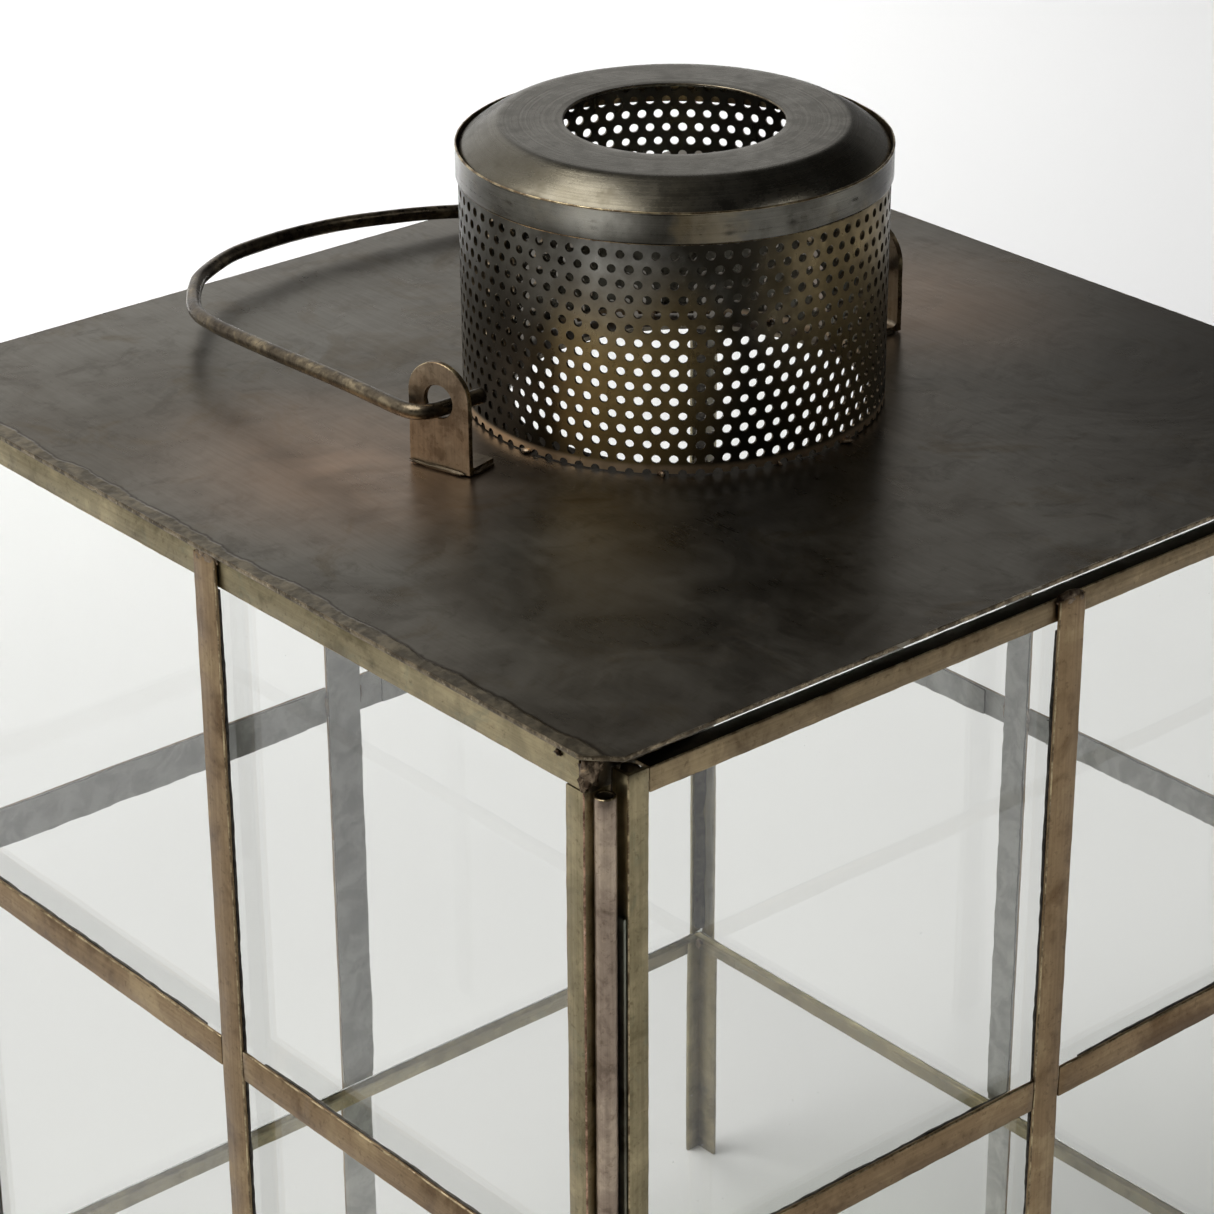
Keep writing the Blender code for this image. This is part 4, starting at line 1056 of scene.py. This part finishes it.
# =============================================================== ears
def ear(node, foot_dir, x, yaw, seed):
    lo, hi = mmbox(node)
    width, height, t = 15.0, hi.z - lo.z, 1.2
    r, hole_r_, hole_z = width / 2, 3.42, 14.2
    top_ = height - r
    bm_ = bmesh.new()
    n = 48
    outer, inner = [], []
    for i in range(n):  # matching rings: outline of the tab and the wire hole
        a = 2 * math.pi * i / n + math.pi / n
        inner.append((hole_r_ * math.cos(a), hole_z + hole_r_ * math.sin(a)))
        dx, dz = math.cos(a), math.sin(a)
        s = 1e9
        if dx > 1e-6:
            s = min(s, r / dx)
        if dx < -1e-6:
            s = min(s, -r / dx)
        if dz < -1e-6:
            s = min(s, -hole_z / dz)
        p = (dx * s, hole_z + dz * s)
        if p[1] > top_:  # on the round head
            cz = hole_z - top_
            b_ = dz * cz
            s = -b_ + math.sqrt(max(b_ * b_ - (cz * cz - r * r), 0.0))
            p = (dx * s, hole_z + dz * s)
        outer.append(p)
    # the two bottom corners are exact
    for cx_ in (-r, r):
        k_ = min(range(n), key=lambda q: (outer[q][0] - cx_) ** 2 + outer[q][1] ** 2)
        outer[k_] = (cx_, 0.0)
    bev = 0.16

    def grow(ring, d, centre_z):
        out_ = []
        for q in range(len(ring)):
            a_, b_ = Vector(ring[q - 1]), Vector(ring[(q + 1) % len(ring)])
            tt = (b_ - a_).normalized()
            nn = Vector((tt.y, -tt.x))
            out_.append((ring[q][0] + nn.x * d, ring[q][1] + nn.y * d))
        return out_

    layers = [(-t / 2, grow(outer, -bev, 0), grow(inner, bev, 0)), (-t / 2 + bev, outer, inner),
              (t / 2 - bev, outer, inner), (t / 2, grow(outer, -bev, 0), grow(inner, bev, 0))]
    vs = []
    for xx, o_, i_ in layers:
        vo = [bm_.verts.new((xx + 0.10 * wob((p[0], p[1], seed), 9.0, seed), p[0] + 0.06 * wob((p[0], p[1], 4), 5.0, seed), max(p[1], 0.0))) for p in o_]
        vi = [bm_.verts.new((xx + 0.10 * wob((p[0], p[1], seed), 9.0, seed), p[0], p[1])) for p in i_]
        vs.append((vo, vi))
    for a_, b_ in zip(vs, vs[1:]):
        first = a_ is vs[0] or b_ is vs[-1]
        for q in range(n):
            w = (q + 1) % n
            bm_.faces.new((a_[0][q], a_[0][w], b_[0][w], b_[0][q])).material_index = 1
            bm_.faces.new((a_[1][q], a_[1][w], b_[1][w], b_[1][q])).material_index = 1 if first else 0
    for lay in (vs[0], vs[-1]):
        for q in range(n):
            w = (q + 1) % n
            bm_.faces.new((lay[0][q], lay[0][w], lay[1][w], lay[1][q]))
    # foot, bent at a right angle towards the chimney, a little ragged at its end
    f0, f1 = (t / 2 - 0.02, t / 2 + 7.0)
    cells = 8
    grid = []
    for zz in (0.0, t * 0.9):
        rows_ = []
        for q in range(cells + 1):
            yy = -r + 0.4 + (width - 0.8) * q / cells
            end_ = f1 + 0.35 * wob((yy, seed, 0), 3.0, seed)
            rows_.append([bm_.verts.new((foot_dir * (f0 + (end_ - f0) * s_ / 4), yy, zz)) for s_ in range(5)])
        grid.append(rows_)
    for q in range(cells):
        for s_ in range(4):
            for g in grid:
                bm_.faces.new((g[q][s_], g[q + 1][s_], g[q + 1][s_ + 1], g[q][s_ + 1]))
    for s_ in range(4):
        for q in (0, cells):
            bm_.faces.new((grid[0][q][s_], grid[0][q][s_ + 1], grid[1][q][s_ + 1], grid[1][q][s_])).material_index = 1
    for q in range(cells):
        for s_ in (0, 4):
            bm_.faces.new((grid[0][q][s_], grid[0][q + 1][s_], grid[1][q + 1][s_], grid[1][q][s_])).material_index = 1 if s_ else 0
    # a fillet in the bend
    fil = []
    for q in range(cells + 1):
        yy = -r + 0.4 + (width - 0.8) * q / cells
        fil.append([bm_.verts.new((foot_dir * (t / 2 + 0.9 * (1 - math.sin(math.radians(w * 30)))), yy,
                                   t * 0.9 + 0.9 * (1 - math.cos(math.radians(w * 30))))) for w in range(4)]
                   + [bm_.verts.new((foot_dir * (t / 2 - 0.05), yy, t * 0.9 - 0.05))])
    for q in range(cells):
        for w in range(5):
            bm_.faces.new((fil[q][w], fil[q + 1][w], fil[q + 1][(w + 1) % 5], fil[q][(w + 1) % 5]))
    bm_.faces.new(fil[0])
    bm_.faces.new(fil[-1])
    bmesh.ops.transform(bm_, matrix=Matrix.Translation((x, 0, lo.z)) @ Matrix.Rotation(math.radians(yaw), 4, "Z"),
                        verts=bm_.verts)
    o_ = link("look_" + node, bm_, [M_EAR, M_EDGE], "body", smooth=35)
    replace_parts(o_, node)
    # dark flux and solder round the foot
    ca, sa = math.cos(math.radians(yaw)), math.sin(math.radians(yaw))
    for q, (fx, fy, rx, ry) in enumerate(((foot_dir * 7.3, 0.0, 0.9, 5.5), (foot_dir * 4.0, -7.2, 3.0, 0.7),
                                          (foot_dir * 4.0, 7.2, 3.0, 0.7), (-foot_dir * 0.9, 0.5, 0.45, 6.2))):
        b = blob(f"solder_{node}_{q}", (0, 0, 0), (rx, ry, 0.55), "body", M_DARKBRASS, seed=150 + seed + q, rough=0.5)
        for v in b.data.vertices:
            px, py = v.co.x * 1000 + fx, v.co.y * 1000 + fy
            v.co = Vector(((x + px * ca - py * sa) * MM, (px * sa + py * ca) * MM,
                           max(ZT + 0.01, lo.z + 0.1 + v.co.z * 1000) * MM))


ear("bail_ear_left", 1, -58.0, 14.0, 1)
ear("bail_ear_right", -1, 62.0, -4.0, 6)

# =============================================================== bail wire
pivot = next(j for j in frame["joints"] if j["name"] == "bail_pivot")["pos_m"]
BZ = pivot[2] * 1000.0
left = [(-47.5, 0.0, BZ), (-52.0, 0.0, BZ), (-56.5, 0.0, BZ), (-60.0, 0.35, BZ),
        (-62.4, 2.2, BZ - 0.1), (-63.1, 6.4, BZ - 0.3), (-62.6, 16.0, ZT + 12.0),
        (-61.9, 31.0, ZT + 11.3), (-61.4, 52.4, ZT + 10.2), (-59.9, 74.1, ZT + 8.9),
        (-57.4, 84.5, ZT + 8.2), (-52.8, 92.3, ZT + 7.6), (-47.6, 99.0, ZT + 7.3),
        (-41.8, 104.6, ZT + 7.0), (-29.5, 111.6, ZT + 6.5)]
middle = [(-18.0, 114.2, ZT + 6.1), (-7.7, 115.2, ZT + 5.7), (2.5, 114.8, ZT + 5.3),
          (12.9, 112.9, ZT + 4.8)]
right = [(24.0, 110.2, ZT + 4.1), (36.0, 105.4, ZT + 3.2), (46.5, 99.0, ZT + 2.6),
         (55.0, 90.0, ZT + 2.2), (61.0, 78.0, ZT + 3.4), (64.6, 62.0, ZT + 5.6),
         (66.4, 44.0, ZT + 8.0), (67.0, 24.0, ZT + 10.6), (67.2, 9.0, ZT + 12.3),
         (66.6, 3.2, BZ - 0.2), (64.2, 0.5, BZ), (60.5, 0.0, BZ), (56.0, 0.0, BZ),
         (52.0, 0.0, BZ)]
pts = smooth_path(left + middle + right, per=6)
WR = 1.6
bm = bmesh.new()
tang = [(pts[min(i + 1, len(pts) - 1)] - pts[max(i - 1, 0)]).normalized() for i in range(len(pts))]
nrm = (Vector((0, 0, 1)) - tang[0] * tang[0].z).normalized()
rings = []
for i, (p, t) in enumerate(zip(pts, tang)):
    nrm = (nrm - t * nrm.dot(t)).normalized()
    b = t.cross(nrm)
    rings.append([bm.verts.new(p + (nrm * math.cos(2 * math.pi * k_ / 20) + b * math.sin(2 * math.pi * k_ / 20))
                               * (WR + 0.03 * wob(p, 9.0, k_ * 0.1 + 2))) for k_ in range(20)])
for ra, rb_ in zip(rings, rings[1:]):
    for k_ in range(20):
        bm.faces.new((ra[k_], ra[(k_ + 1) % 20], rb_[(k_ + 1) % 20], rb_[k_]))
for ring, p, t, s in ((rings[0], pts[0], tang[0], -1), (rings[-1], pts[-1], tang[-1], 1)):
    tip = [bm.verts.new(p + (v.co - p) * 0.78 + t * s * 0.30) for v in ring]
    for k_ in range(20):
        bm.faces.new((ring[k_], ring[(k_ + 1) % 20], tip[(k_ + 1) % 20], tip[k_]))
    bm.faces.new(tip)
o = link("bail_wire", bm, [M_WIRE], "bail", smooth=50)
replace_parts(o, "bail_handle")


# =============================================================== hinge tubes, pin, leaf
def tube(name, node, z0, z1, body, ra=2.0, ri=1.4, seed=0.0):
    lo, hi = mmbox(node)
    cx_, cy_ = TUBE_X, TUBE_Y
    prof_ = [(ri, z0, 1), (ri + 0.12, z0 - 0.0, 1), (ra - 0.16, z0, 1), (ra, z0 + 0.2, 0)]
    n = max(3, int((z1 - z0) / 3.0))
    prof_ += [(ra, z0 + 0.2 + (z1 - z0 - 0.4) * i / n, 0) for i in range(1, n)]
    prof_ += [(ra, z1 - 0.2, 1), (ra - 0.16, z1, 1), (ri + 0.12, z1, 1), (ri, z1 - 0.15, 2)]

    def shp(r, h, a):
        q = (math.cos(a) * r + 9 * seed, math.sin(a) * r, h)
        return r + (0.03 * wob(q, 7.0, seed) if r > ri + 0.2 else 0.0), h

    o_ = lathe(name, prof_, [M_TUBE, M_EDGE, M_DARKBRASS], body, steps=40, centre=(cx_, cy_), shape=shp, smooth=60)
    return o_


TU_LO, TU_HI = mmbox("hinge_tube_upper")
TL_LO, TL_HI = mmbox("hinge_tube_lower")
TUBE_X, TUBE_Y = (TU_LO.x + TU_HI.x) / 2, (TU_LO.y + TU_HI.y) / 2
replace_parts(tube("look_hinge_tube_upper", "hinge_tube_upper", TU_LO.z, TU_HI.z, "body", seed=1.0), "hinge_tube_upper")
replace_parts(tube("look_hinge_tube_lower", "hinge_tube_lower", TL_LO.z, TL_HI.z, "body", seed=2.0), "hinge_tube_lower")
for node in ("hinge_pin", "catch_rivet"):
    keep_node(node, M_TUBE, 0.12)
keep_node("hinge_leaf", M_LEAF, 0.08)
keep_node("turn_button", M_TUBE, 0.12)

# =============================================================== floor
bm = bmesh.new()
for x in (-6, 6):
    for y in (-6, 9):
        bm.verts.new((x, y, 0.0))
bm.verts.ensure_lookup_table()
bm.faces.new((bm.verts[0], bm.verts[2], bm.verts[3], bm.verts[1]))
me = bpy.data.meshes.new("floor")
bm.to_mesh(me)
bm.free()
floor = bpy.data.objects.new("floor", me)
bpy.context.scene.collection.objects.link(floor)
k = Mat("floor_white")
me.materials.append(k.finish((0.86, 0.86, 0.855), 0.7, 0.0))
